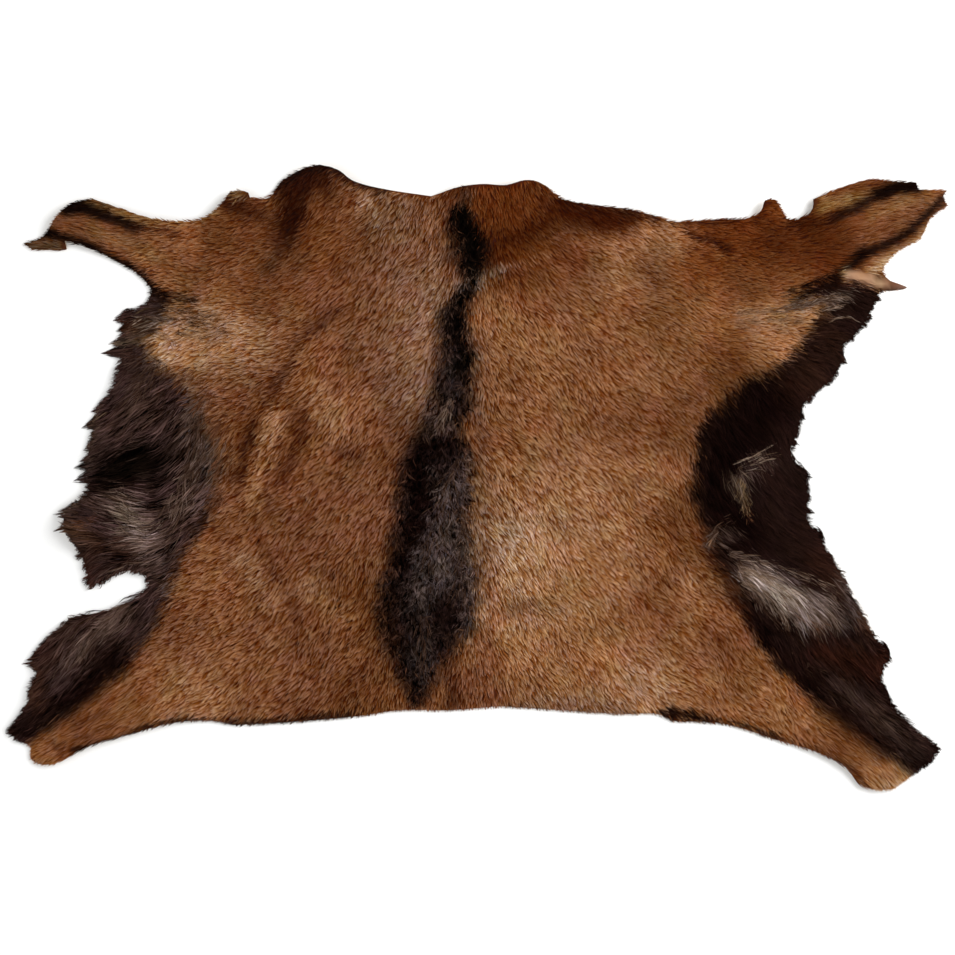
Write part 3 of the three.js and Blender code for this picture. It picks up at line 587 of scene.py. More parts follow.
class GoatskinSizes(bpy.types.PropertyGroup):
    """Sizes and growth of the skin that the panel shows"""
    hide_thickness: bpy.props.FloatProperty(
        name="Hide", description="Thickness of the tanned hide", default=0.0017, unit="LENGTH")
    back_hair: bpy.props.FloatProperty(
        name="Back hair", description="Length of the hair on the back", default=0.009, unit="LENGTH")
    leg_hair: bpy.props.FloatProperty(
        name="Leg hair", description="Length of the hair on the lower legs", default=0.011, unit="LENGTH")
    mane_hair: bpy.props.FloatProperty(
        name="Mane", description="Length of the hair along the spine", default=0.010, unit="LENGTH")
    belly_hair: bpy.props.FloatProperty(
        name="Belly hair", description="Length of the hair at the flanks", default=0.032, unit="LENGTH")
    hair_width: bpy.props.FloatProperty(
        name="Hair width", description="Width of one modelled strand of back hair", default=0.0009,
        unit="LENGTH")
    back_density: bpy.props.FloatProperty(
        name="Back density", description="Strands of back hair on a square centimetre", default=80, min=1)
    mane_density: bpy.props.FloatProperty(
        name="Mane density", description="Strands of the mane on a square centimetre", default=115, min=1)
    belly_density: bpy.props.FloatProperty(
        name="Belly density", description="Strands of belly hair on a square centimetre", default=52, min=1)
    seed: bpy.props.IntProperty(
        name="Seed", description="Number that the uneven growth starts from", default=7)


class GoatskinColours(bpy.types.PropertyGroup):
    """Colours that the panel shows"""
    coat_tint: bpy.props.FloatVectorProperty(
        name="Coat tint", description="Colour that the whole coat is multiplied by", subtype="COLOR",
        size=3, min=0, max=1, default=(1, 1, 1))
    flesh_side: bpy.props.FloatVectorProperty(
        name="Flesh side", description="Colour of the hide's underside", subtype="COLOR",
        size=3, min=0, max=1, default=tuple(linear("#c6ab8a")))
    floor: bpy.props.FloatVectorProperty(
        name="Floor", description="Colour of the floor", subtype="COLOR",
        size=3, min=0, max=1, default=tuple(linear("#f7f7f6")))


def node(tree, kind, links=(), **settings):
    """Adds a node. Settings name its properties or inputs, and links are (input, socket that feeds it)."""
    made = tree.nodes.new(kind)
    for key, value in settings.items():
        if hasattr(made, key):
            setattr(made, key, value)
        else:
            made.inputs[key.replace("_", " ")].default_value = value
    for name, source in links:
        tree.links.new(source, made.inputs[name])
    return made


def smoothstep(share):
    """A share from 0 to 1 that leaves 0 and reaches 1 gently."""
    share = np.clip(share, 0.0, 1.0)
    return share * share * (3.0 - 2.0 * share)


def smooth_through(points, step):
    """Points about a step apart on a centripetal Catmull-Rom curve, without the last."""
    p = np.array(points, float)
    p = np.vstack([2 * p[0] - p[1], p, 2 * p[-1] - p[-2]])
    found = []
    for i in range(1, len(p) - 2):
        before, start, end, after = p[i - 1:i + 3]
        d0, d1, d2 = (np.linalg.norm(b - a) ** 0.5 for a, b in ((before, start), (start, end), (end, after)))
        m1 = ((start - before) / d0 - (end - before) / (d0 + d1) + (end - start) / d1) * d1
        m2 = ((end - start) / d1 - (after - start) / (d1 + d2) + (after - end) / d2) * d1
        count = max(1, round(np.linalg.norm(end - start) / step))
        for t in np.arange(count) / count:
            found.append((2 * t ** 3 - 3 * t ** 2 + 1) * start + (t ** 3 - 2 * t ** 2 + t) * m1
                         + (3 * t ** 2 - 2 * t ** 3) * end + (t ** 3 - t ** 2) * m2)
    return found


def rim_loop(step):
    """The whole rim as points about a step apart."""
    return np.array([point for stretch in RIM.values() for point in smooth_through(stretch, step)])


def line_distance(x, y, points, closed=False):
    """Distance from each x, y to a line through the points."""
    points = np.array(points, float)
    ends = np.roll(points, -1, axis=0) if closed else points[1:]
    nearest = np.full(np.shape(x), np.inf)
    for (ax, ay), (bx, by) in zip(points, ends):
        dx, dy = bx - ax, by - ay
        share = np.clip(((x - ax) * dx + (y - ay) * dy) / (dx * dx + dy * dy + 1e-9), 0, 1)
        nearest = np.minimum(nearest, np.hypot(x - ax - share * dx, y - ay - share * dy))
    return nearest


def is_inside(x, y, loop):
    """Which points lie inside a closed loop."""
    odd = np.zeros(np.shape(x), bool)
    for (ax, ay), (bx, by) in zip(loop, np.roll(loop, -1, axis=0)):
        if ay != by:
            odd ^= ((ay > y) != (by > y)) & (x < (bx - ax) * (y - ay) / (by - ay) + ax)
    return odd


def inward(x, y, loop):
    """Distance to a closed loop, positive inside it."""
    loop = np.array(loop, float)
    away = line_distance(x, y, loop, closed=True)
    return np.where(is_inside(x, y, loop), away, -away)


def patches(x, y, cell, seed):
    """Smooth uneven values from -1 to 1, with features about a cell wide."""
    size = 64
    corner = 2000  # far enough off that every place is on the positive side of the lattice
    lattice = np.random.default_rng(seed).uniform(-1, 1, (size, size))
    u, v = (x + corner) / cell, (y + corner) / cell
    i, j = np.floor(u).astype(int), np.floor(v).astype(int)
    a, b = smoothstep(u - i), smoothstep(v - j)
    i0, i1, j0, j1 = i % size, (i + 1) % size, j % size, (j + 1) % size
    near = lattice[j0, i0] * (1 - a) + lattice[j0, i1] * a
    far = lattice[j1, i0] * (1 - a) + lattice[j1, i1] * a
    return near * (1 - b) + far * b


def ridges(rows, x, y):
    """The height of rounded ridges along lines, each of which falls to nothing at its half width."""
    height = np.zeros(np.shape(x))
    for points, half, rise in rows:
        share = line_distance(x, y, points) / half
        height = np.maximum(height, np.where(share < 1, rise * (1 - share * share) ** 2, 0))
    return height


def blended(rows, x, y, area, power):
    """The values of rows of x, y and values, blended over the skin. Each counts most at its own place.

    Area, in square millimetres, says how far a row carries, and power how fast it fades beyond that.
    """
    found, total = 0, np.zeros(np.shape(x))
    for px, py, *values in rows:
        weight = 1 / (((x - px) ** 2 + (y - py) ** 2) / area + 1) ** power
        found = found + weight[..., None] * np.array(values)
        total += weight
    return found / total[..., None]


class Skin:
    """What the coat does at each place, worked out once on a grid and read off between its points."""

    def __init__(self):
        xs = np.arange(-FIELD_X, FIELD_X + 0.1, FIELD_PITCH)
        ys = np.arange(-FIELD_Y, FIELD_Y + 0.1, FIELD_PITCH)
        x, y = np.meshgrid(xs, ys)
        edge = inward(x, y, rim_loop(6))
        lower_legs = smoothstep((np.abs(x) - 300) / 60) * smoothstep((np.abs(y) - 190) / 30)
        # borders between colours wander by a few millimetres, less on the lower legs and not at the rim
        uneven = (4 - 3 * lower_legs) * smoothstep((edge - 3) / 12)
        wx = x + uneven * patches(x, y, 9, 21)
        wy = y + uneven * patches(x, y, 9, 22)
        belly = np.maximum(inward(wx, wy, LEFT_BELLY), inward(wx, wy, RIGHT_BELLY))
        crease = ridges(CREASES, x, y)  # the hide itself sinks by about a third of a crease's depth
        self.fields = {
            "edge": edge,
            "belly": belly,
            "stripe": self.stripe_inward(wx, wy),
            "crease": crease,
            "hide": np.maximum(ridges(FOLDS, x, y) - 0.35 * crease, 0),
            "leg": lower_legs * (belly < 4),
            "contrast": blended(CONTRAST, x, y, area=900, power=2)[..., 0],
            "bare": np.clip(3 * (1 - line_distance(x, y, LEATHER) / LEATHER_HALF), 0, 1),
        }
        self.lay_flow(x, y)
        self.lay_colour(x, y, wx, wy)

    def stripe_inward(self, x, y):
        """How far inside the dorsal stripe each place lies, along X."""
        rows = np.array(STRIPE, float)[::-1]
        centre = np.interp(y, rows[:, 0], rows[:, 1])
        half = np.interp(y, rows[:, 0], rows[:, 2], left=-20, right=-20)
        trim = 1.5  # half the width that is taken off the stripe's right side
        return half - trim - np.abs(x - centre + trim)

    def lay_flow(self, x, y):
        """The way the hair lies: along the rows of FLOW, but a little outward close to the rim."""
        way = blended(FLOW, x, y, area=900, power=1.6)
        angle = np.arctan2(way[..., 1], way[..., 0])
        angle = angle + 0.20 * patches(x, y, 34, 31) + 0.16 * patches(x, y, 13, 32)
        out_y, out_x = np.gradient(-self.fields["edge"], FIELD_PITCH)
        push = 0.7 * (1 - 0.8 * self.fields["leg"]) * smoothstep((5 - self.fields["edge"]) / 5)
        self.fields["flow_x"] = np.cos(angle) + push * out_x
        self.fields["flow_y"] = np.sin(angle) + push * out_y

    def lay_colour(self, x, y, wx, wy):
        """The coat's colour: ground, strokes, dark belly and stripe, late strokes and a little unevenness.

        The strokes are laid at wx, wy, which are x, y moved about a little so that no border is straight.
        """
        colours = {name: linear(value) ** (1 / BLEND_POWER) for name, value in PALETTE.items()}
        ground = [(px, py, *colours[name]) for px, py, name in GROUND]
        paint = blended(ground, x, y, area=600, power=2)

        def laid(paint, colour, share):
            return paint + share[..., None] * (colour - paint)

        def with_strokes(paint, rows):
            for name, strength, half, soft, points in rows:
                away = line_distance(wx, wy, points)
                paint = laid(paint, colours[name], strength * smoothstep((half + soft - away) / (2 * soft)))
            return paint

        paint = with_strokes(paint, STROKES)
        belly_colour = np.where((x < 0)[..., None], colours["belly_brown"], colours["black_brown"])
        paint = laid(paint, belly_colour, smoothstep((self.fields["belly"] + 7) / 14))
        paint = laid(paint, colours["stripe_black"], smoothstep((self.fields["stripe"] + 12) / 23))
        paint = with_strokes(paint, LATE_STROKES)
        paint = paint * (1 + 0.06 * patches(x, y, 26, 41) + 0.05 * patches(x, y, 10, 42))[..., None]
        paint = paint * (1 - 0.02 * smoothstep((-60 - x) / 100))[..., None]  # a little darker on the left
        # how much the red, green and blue drift apart, with each one's seed and width of patch
        hues = [(0.02, 43, 15), (0.025, 44, 12), (0.06, 45, 9)]
        tinge = [1 + drift * patches(x, y, cell, seed) for drift, seed, cell in hues]
        paint = np.clip(paint * np.stack(tinge, axis=-1), 0, 1) ** BLEND_POWER
        for k, name in enumerate(("red", "green", "blue")):
            self.fields[name] = paint[..., k]

    def read(self, name, x, y):
        """The named field at each x, y."""
        grid = self.fields[name]
        u = np.clip((x + FIELD_X) / FIELD_PITCH, 0, grid.shape[1] - 1.001)
        v = np.clip((y + FIELD_Y) / FIELD_PITCH, 0, grid.shape[0] - 1.001)
        i, j = u.astype(int), v.astype(int)
        a, b = u - i, v - j
        near = grid[j, i] * (1 - a) + grid[j, i + 1] * a
        far = grid[j + 1, i] * (1 - a) + grid[j + 1, i + 1] * a
        return near * (1 - b) + far * b

    def colour(self, x, y):
        """The coat's colour at each x, y, as linear red, green and blue."""
        return np.stack([self.read(name, x, y) for name in ("red", "green", "blue")], axis=-1)

    def way(self, x, y):
        """The direction that the hair lies in, as a unit vector."""
        found = np.stack([self.read("flow_x", x, y), self.read("flow_y", x, y)], axis=-1)
        return found / (np.linalg.norm(found, axis=1, keepdims=True) + 1e-9)


SHARED = {}


def shared(maker):
    """What the maker makes, made once and kept under its name."""
    name = maker.__name__
    if name not in SHARED:
        SHARED[name] = maker()
    return SHARED[name]


def draws(number):
    """The seeded random draws of one piece, so that it grows the same way each time."""
    return np.random.default_rng(bpy.context.scene.goatskin_sizes.seed * 100 + number)


def add_mesh(name, points, quads, triangles, colours, cells=None):
    """A mesh object from arrays in millimetres, with the points' colours and, for hair, their UV places."""
    mesh = bpy.data.meshes.new(name)
    corners = np.concatenate([quads.ravel(), triangles.ravel()]).astype(np.int32)
    sizes = np.concatenate([np.full(len(quads), 4), np.full(len(triangles), 3)])
    starts = np.concatenate([[0], np.cumsum(sizes)[:-1]]).astype(np.int32)
    mesh.vertices.add(len(points))
    mesh.vertices.foreach_set("co", (points * MM).astype(np.float32).ravel())
    mesh.loops.add(len(corners))
    mesh.loops.foreach_set("vertex_index", corners)
    mesh.polygons.add(len(starts))
    mesh.polygons.foreach_set("loop_start", starts)
    mesh.polygons.foreach_set("use_smooth", np.ones(len(starts), bool))
    mesh.update(calc_edges=True)
    layer = mesh.color_attributes.new("coat", "FLOAT_COLOR", "POINT")
    opaque = np.concatenate([colours, np.ones((len(colours), 1))], axis=1)
    layer.data.foreach_set("color", opaque.astype(np.float32).ravel())
    if cells is not None:
        mesh.uv_layers.new(name="OFBake")
        mesh.uv_layers["OFBake"].data.foreach_set("uv", cells[corners].astype(np.float32).ravel())
    made = bpy.data.objects.new(name, mesh)
    bpy.context.scene.collection.objects.link(made)
    return made


def finish_piece(piece, material):
    """Gives a piece its material, and tells which node of the part it rides on and stands for."""
    piece.data.materials.append(material)
    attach(piece, "root")
    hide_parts("goatskin")


def coat_material(name, tone_scale, detail, roughness, specular):
    """A material in the coat's own colours, which a noise makes up to a fifth lighter or darker."""
    made = bpy.data.materials.new(name)
    made.use_nodes = True
    tree = made.node_tree
    coat = node(tree, "ShaderNodeAttribute", attribute_name="coat")
    place = node(tree, "ShaderNodeTexCoord", name="place")
    tone = node(tree, "ShaderNodeTexNoise", [("Vector", place.outputs["Object"])],
                Scale=tone_scale, Detail=detail)
    spread = node(tree, "ShaderNodeMapRange", [("Value", tone.outputs["Fac"])], To_Min=0.8, To_Max=1.2)
    tinted = node(tree, "ShaderNodeVectorMath",
                  [(0, coat.outputs["Color"]), (1, spread.outputs["Result"])], operation="MULTIPLY")
    shader = tree.nodes["Principled BSDF"]
    tree.links.new(tinted.outputs["Vector"], shader.inputs["Base Color"])
    shader.inputs["Roughness"].default_value = roughness
    shader.inputs["Specular IOR Level"].default_value = specular
    return made


def goat_hair():
    """Goat hair, a fine fibre with a faint gloss: soft and nearly matt in the mass."""
    # fibres differ a little in tone every 3 mm or so
    return coat_material("goat_hair", tone_scale=330.0, detail=2.0, roughness=0.55, specular=0.005)


def tanned_hide():
    """Tanned goat hide: a matt suede below and a dull skin between the hairs, both with a fine grain."""
    # blotches of 30 mm or so from the tanning, and pores about 1.5 mm apart
    made = coat_material("tanned_hide", tone_scale=30.0, detail=3.0, roughness=0.85, specular=0.1)
    tree = made.node_tree
    place = tree.nodes["place"].outputs["Object"]
    grain = node(tree, "ShaderNodeTexNoise", [("Vector", place)], Scale=650.0, Detail=4.0)
    bump = node(tree, "ShaderNodeBump", [("Height", grain.outputs["Fac"])], Strength=0.35, Distance=0.0004)
    tree.links.new(bump.outputs["Normal"], tree.nodes["Principled BSDF"].inputs["Normal"])
    return made


def nearest_bunch(x, y, size, way, rng):
    """The bunch of hair that each root belongs to: its middle, how far off it lies, and its own habits.

    Bunches are longer along the hair than across it, so distance along the hair counts for less.
    """
    span = 1400  # wider than the skin, so that there are bunches on all sides of every root
    lengthwise = 0.36  # what distance along the hair counts for beside distance across it
    cells = int(span / size) + 3
    jitter = rng.uniform(0.0, 1.0, (cells, cells, 2))
    habits = {
        "tone": rng.random((cells, cells)),
        "turn": rng.normal(0, 1, (cells, cells)),
        "size": rng.uniform(0.82, 1.15, (cells, cells)),
        "lift": rng.uniform(0.7, 1.3, (cells, cells)),
        "reach": rng.random((cells, cells)) ** 2,
        "phase": rng.uniform(0, 2 * math.pi, (cells, cells)),
    }
    i = ((x + span / 2) / size).astype(int)
    j = ((y + span / 2) / size).astype(int)
    best = np.full(len(x), np.inf)
    middle = np.zeros((len(x), 2))
    pick = np.zeros((len(x), 2), int)
    for di in (-1, 0, 1):
        for dj in (-1, 0, 1):
            a, b = np.clip(i + di, 0, cells - 1), np.clip(j + dj, 0, cells - 1)
            cx = (a + jitter[b, a, 0]) * size - span / 2
            cy = (b + jitter[b, a, 1]) * size - span / 2
            along = (x - cx) * way[:, 0] + (y - cy) * way[:, 1]
            across = (y - cy) * way[:, 0] - (x - cx) * way[:, 1]
            away = np.hypot(along * lengthwise, across)
            nearer = away < best
            best = np.where(nearer, away, best)
            middle[nearer] = np.stack([cx, cy], axis=-1)[nearer]
            pick[nearer] = np.stack([b, a], axis=-1)[nearer]
    return middle, best / size, {name: grid[pick[:, 0], pick[:, 1]] for name, grid in habits.items()}


def sideways(way):
    """Each direction turned a quarter to its left."""
    return np.stack([-way[:, 1], way[:, 0]], axis=-1)


def turned(way, angle):
    """Each direction turned to its left by its angle."""
    return way * np.cos(angle)[:, None] + sideways(way) * np.sin(angle)[:, None]


def follow(start, reach, shares, turn):
    """Where a strand lies at each share of its reach when it follows the flow of the coat from its start."""
    at = start
    stops = [at]
    for before, after in zip(shares, shares[1:]):
        way = turned(shared(Skin).way(at[:, 0], at[:, 1]), turn)
        at = at + way * (reach * (after - before))[:, None]
        stops.append(at)
    return stops


def strands(name, stops, shares, rises, width, colours, fade, kind, rng):
    """One joined mesh of strands, from where each lies at the shares of its length and how high it stands.

    A strand starts and ends in a point, with a pair of points at each share between. Its tone goes from the
    first number of fade at the root to the second at the tip. Strands that grow side by side get UV cells
    side by side.
    """
    ground = shared(Skin)
    hide_top = bpy.context.scene.goatskin_sizes.hide_thickness / MM
    side_margin, end_margin = 0.15, 0.12  # what each strand leaves free of its UV cell
    count = len(colours)
    columns = math.ceil(math.sqrt(count))
    rank = np.argsort(np.argsort(stops[0][:, 1]))
    order = np.lexsort((stops[0][:, 0], rank // columns))
    roll = rng.normal(0, 0.5, count)
    lowest = 0.4 + 0.5 * rng.random(count)  # where each strand would rest on the floor
    rows, where, across = [], [], []
    last = len(shares) - 1
    for k, share in enumerate(shares):
        at = stops[k]
        fall = np.clip(-ground.read("edge", at[:, 0], at[:, 1]) / RIM_FALL, 0, 1)
        lie = (ground.read("hide", at[:, 0], at[:, 1]) + hide_top) * (1 - 0.6 * fall)
        press = (1 - CREASE_PRESS * ground.read("crease", at[:, 0], at[:, 1])) * (1 - 0.7 * fall)
        high = np.maximum(lie + rises[k] * press, lowest)
        spot = np.concatenate([at, high[:, None]], axis=1)
        if 0 < k < last:
            ahead = stops[k + 1] - stops[k - 1]
            ahead = ahead / (np.linalg.norm(ahead, axis=1, keepdims=True) + 1e-9)
            wide = 0.5 * width * (1.15 - 0.55 * share)  # widest near the root
            half = np.concatenate([sideways(ahead) * (wide * np.cos(roll))[:, None],
                                   (wide * np.sin(roll))[:, None]], axis=1)
            rows += [spot + half, spot - half]
            where += [share, share]
            across += [1 - side_margin, side_margin]
        else:
            rows.append(spot)
            where.append(share)
            across.append(0.5)
    points = np.stack(rows, axis=1)[order]
    points[:, :, 2] = np.maximum(points[:, :, 2], NEVER_BELOW)
    where = np.array(where)
    # darker towards the root: partly the root's own darker colour, partly painted shade from the hairs over
    # it
    along = fade[0] + (fade[1] - fade[0]) * smoothstep(where * 1.1)
    tint = np.array(bpy.context.scene.goatskin_colours.coat_tint)
    shade = colours[order][:, None, :] * toned(along, kind)[None] * tint * kind[0]
    starts = np.arange(count)[:, None] * len(rows)
    end = len(rows) - 1
    quads = [starts + np.array([[k + 1, k + 3, k + 2, k]]) for k in range(1, end - 2, 2)]
    quads = np.concatenate(quads) if quads else np.zeros((0, 4), int)
    root_ends = starts + np.array([[0, 2, 1]])
    tip_ends = starts + np.array([[end - 2, end - 1, end]])
    # every strand has a cell of the UV map to itself
    origin = np.stack([np.arange(count) % columns, np.arange(count) // columns], axis=-1)
    corner = np.stack([np.array(across), end_margin + (1 - 2 * end_margin) * where], axis=-1)
    cells = ((origin[:, None, :] + corner[None, :, :]) / columns).reshape(-1, 2)
    made = add_mesh(name, points.reshape(-1, 3), quads, np.concatenate([root_ends, tip_ends]),
                    np.clip(shade, 0, 1).reshape(-1, 3), cells)
    finish_piece(made, shared(goat_hair))


def grow(name, x, y, length, width, lift, rng, overhang, reach=0.0, pull=0.6, bunch=2.4, spread=0.15,
         shades=(0.2, 1.55), skew=1.0, mottle=0.5, shares=SHORT_HAIR, wave=0.025, fade=(0.3, 1.1),
         kind=BROWN_HAIR, wander=2.4, shag=0.0):
    """Strands that grow from roots at x, y along the flow of the coat, drawn together into bunches.

    Lift is the angle over the hide in degrees. Pull is how far the tips draw together, bunch the width of a
    bunch, and spread how much the bunches differ in direction. Shades are the darkest and lightest tone of a
    strand, skew above 1 makes more of them dark, and mottle is how far the strands of a bunch share a tone.
    Wander is how far off a strand picks its colour, and shag the size of the bigger locks that the tips of
    long hair gather into. A tip ends at most overhang past the rim, and in some bunches up to reach further.
    """
    strand_turn = 0.12  # how much single strands differ in direction
    lock_turn = 0.10  # and how much the bigger locks do
    lock_pull = 0.4  # how far the tips of long hair draw together into them
    cuts = 6  # how often a strand is cut back at the rim, if it still reaches too far
    ground = shared(Skin)
    count = len(x)
    roots = np.stack([x, y], axis=-1)
    way = ground.way(x, y)
    calm = 1 - 0.6 * ground.read("leg", x, y)
    middle, apart, lot = nearest_bunch(x, y, bunch, way, rng)
    turn = (spread * lot["turn"] + rng.normal(0, strand_turn, count)) * calm
    length = length * lot["size"] * rng.uniform(0.75, 1.15, count)
    lifted = np.radians(lift) * rng.uniform(0.75, 1.25, count) * lot["lift"]
    flat = length * np.cos(lifted)
    further = lot["reach"]
    if shag:
        knot, _, lock = nearest_bunch(x, y, shag, way, rng)
        further = lock["reach"]
        turn = turn + lock_turn * lock["turn"]
    for _ in range(cuts):
        tip = roots + turned(way, turn) * flat[:, None]
        over = -ground.read("edge", tip[:, 0], tip[:, 1]) > overhang + reach * further
        flat = np.where(over, flat * 0.75, flat)
    own = follow(roots, flat, shares, turn)
    ours = follow(middle, flat, shares, spread * lot["turn"] * calm)
    theirs = follow(knot, flat, shares, lock_turn * lock["turn"]) if shag else ours
    phase = lot["phase"] + rng.normal(0, 0.6, count)
    stops, rises = [], []
    for k, share in enumerate(shares):
        bend = wave * length * np.sin(phase + 5.0 * share) * share
        at = own[k] * (1 - pull * share) + ours[k] * pull * share
        if shag:
            at = at * (1 - lock_pull * share ** 2) + theirs[k] * lock_pull * share ** 2
        stops.append(at + sideways(way) * bend[:, None])
        rises.append(flat * np.tan(lifted) * share * (1 - 0.38 * share))
    # the bunches may have drawn some tips out again, and these are drawn in
    spare = 1.2
    for _ in range(cuts - 1):
        end = stops[-1]
        over = -ground.read("edge", end[:, 0], end[:, 1]) > overhang + reach * further + spare
        shrink = np.where(over, 0.8, 1.0)[:, None]
        stops = [roots + (at - roots) * shrink for at in stops]
    off = rng.normal(0, wander, (count, 2)) * calm[:, None] + way * (0.3 * flat)[:, None]
    middling = 0.45  # the value that a change of contrast leaves alone
    value = (mottle * lot["tone"] + (1 - mottle) * rng.random(count)) ** skew
    value = middling + (value - middling) * (0.4 + 0.6 * calm) * ground.read("contrast", x, y)
    # painted shade: the hair between the bunches is painted darker, where the bunches shade it
    between = np.clip(apart, 0, 1) ** 1.5  # hair is darker between the bunches
    value = (shades[0] + (shades[1] - shades[0]) * value) * (1.08 - 0.45 * between)
    picked = ground.colour(x + off[:, 0], y + off[:, 1])
    # hair of a warm colour takes no wider tones than these, or it would turn to orange
    fiery = (picked[:, 0] > 0.05) & (picked[:, 0] > 3 * picked[:, 2])
    limit = 1.5 if kind is BROWN_HAIR else 0.6
    colours = picked * toned(np.where(fiery, np.minimum(value, limit), value), kind)
    keep = flat > 2.0  # those cut shorter at the rim are left out
    strands(name, [at[keep] for at in stops], shares, [rise[keep] for rise in rises], width[keep],
            colours[keep], fade, kind, rng)


def scatter(rng, density, weight, box):
    """Roots inside the rim, as many on a square centimetre as the density, thinned out by weight."""
    x0, y0, x1, y1 = box
    square_centimetres = (x1 - x0) * (y1 - y0) / 100
    count = int(density * square_centimetres)
    x = rng.uniform(x0, x1, count)
    y = rng.uniform(y0, y1, count)
    ground = shared(Skin)
    kept = rng.random(count) < weight(ground, x, y) * (ground.read("edge", x, y) > ROOT_INSET)
    return x[kept], y[kept]


class GOATSKIN_OT_hide(bpy.types.Operator):
    """Lay out the tanned hide under the hair"""
    bl_idname = "goatskin.hide"
    bl_label = "Hide"

    def execute(self, context):
        sizes = context.scene.goatskin_sizes
        ground = shared(Skin)
        rim = self.drawn_in(rim_loop(HIDE_PITCH), HIDE_INSET)
        xs = np.arange(-FIELD_X, FIELD_X, HIDE_PITCH)
        ys = np.arange(-FIELD_Y, FIELD_Y, HIDE_PITCH)
        x, y = np.meshgrid(xs, ys)
        inner = ground.read("edge", x, y) > 0.6 * HIDE_PITCH
        spots = np.concatenate([rim, np.stack([x[inner], y[inner]], axis=-1)])
        edges = [(i, (i + 1) % len(rim)) for i in range(len(rim))]
        flat, _, faces, _, _, _ = delaunay_2d_cdt([Vector(p) for p in spots], edges, [], 1, 1e-3)
        px, py = np.array([tuple(p) for p in flat]).T
        high = ground.read("hide", px, py) + sizes.hide_thickness / MM
        bare = ground.read("bare", px, py)[:, None]
        under_hair = np.array((0.5, 0.3, 0.18))  # the skin between hairs is in their shade and redder
        shade = ground.colour(px, py) * (under_hair * (1 - bare) + bare)
        points = np.stack([px, py, high], axis=-1)
        piece = add_mesh("hide", points, np.zeros((0, 4), int), np.array(faces), shade)
        thick = piece.modifiers.new("thickness", "SOLIDIFY")
        thick.thickness = sizes.hide_thickness
        thick.offset = -1
        context.view_layer.objects.active = piece
        piece.select_set(True)
        bpy.ops.object.modifier_apply(modifier=thick.name)
        self.colour_flesh_side(piece.data, context.scene.goatskin_colours.flesh_side)
        finish_piece(piece, shared(tanned_hide))
        return {"FINISHED"}

    def drawn_in(self, rim, inset):
        """The rim moved in a little under its hair, except at the bare leather."""
        ahead = np.roll(rim, -1, axis=0) - np.roll(rim, 1, axis=0)
        ahead /= np.linalg.norm(ahead, axis=1, keepdims=True)
        bare = shared(Skin).read("bare", rim[:, 0], rim[:, 1])[:, None]
        return rim - sideways(ahead) * inset * (1 - bare)

    def colour_flesh_side(self, mesh, flesh):
        count = len(mesh.vertices)
        normals = np.zeros(count * 3, np.float32)
        mesh.vertex_normals.foreach_get("vector", normals)
        down = normals.reshape(-1, 3)[:, 2] < 0
        layer = mesh.color_attributes["coat"]
        colours = np.zeros(count * 4, np.float32)
        layer.data.foreach_get("color", colours)
        colours = colours.reshape(-1, 4)
        colours[down, :3] = flesh
        layer.data.foreach_set("color", colours.ravel())


# Where the roots of each piece of hair may be: least x, least y, most x and most y.
BACK_QUARTERS = {
    "left_fore": (-480, 20, -18, 330),
    "right_fore": (-18, 20, 480, 330),
    "left_hind": (-480, -330, -40, 20),
    "right_hind": (-40, -330, 480, 20),
}
MANE_BOX = (-110, -235, 30, 296)
BELLY_BOXES = {"left": (-480, -300, -240, 200), "right": (190, -325, 480, 205)}


class GOATSKIN_OT_back_coat(bpy.types.Operator):
    """Grow the short hair of the back, shoulders and legs, in four quarters"""
    bl_idname = "goatskin.back_coat"
    bl_label = "Back coat"

    def execute(self, context):
        sizes = context.scene.goatskin_sizes

        def weight(ground, x, y):
            belly = smoothstep((ground.read("belly", x, y) - 14) / 12)
            return (1 - 0.93 * belly) * (1 - ground.read("bare", x, y))

        for number, (quarter, box) in enumerate(BACK_QUARTERS.items()):
            rng = draws(number)
            x, y = scatter(rng, sizes.back_density, weight, box)
            leg = shared(Skin).read("leg", x, y)
            length = (sizes.back_hair * (1 - leg) + sizes.leg_hair * leg) / MM
            width = sizes.hair_width / MM * (1 - 0.2 * leg)
            grow(f"back_coat_{quarter}", x, y, length, width, lift=18 - 5 * leg, rng=rng,
                 overhang=rng.uniform(-0.5, 1.4, len(x)))
        return {"FINISHED"}


class GOATSKIN_OT_mane(bpy.types.Operator):
    """Grow the woolly dark hair along the spine"""
    bl_idname = "goatskin.mane"
    bl_label = "Mane"

    def execute(self, context):
        sizes = context.scene.goatskin_sizes

        def weight(ground, x, y):
            return smoothstep((ground.read("stripe", x, y) + 5) / 14)

        rng = draws(11)
        x, y = scatter(rng, sizes.mane_density, weight, MANE_BOX)
        length, width = (np.full(len(x), each) for each in (sizes.mane_hair / MM, MANE_WIDTH))
        grow("mane", x, y, length, width, lift=24, rng=rng, overhang=rng.uniform(-0.5, 1.5, len(x)),
             bunch=2.3, spread=0.6, shades=(0.02, 3.8), skew=1.9, mottle=0.65, wave=0.2, fade=(0.35, 1.15),
             kind=GREY_HAIR, wander=3.0)
        return {"FINISHED"}


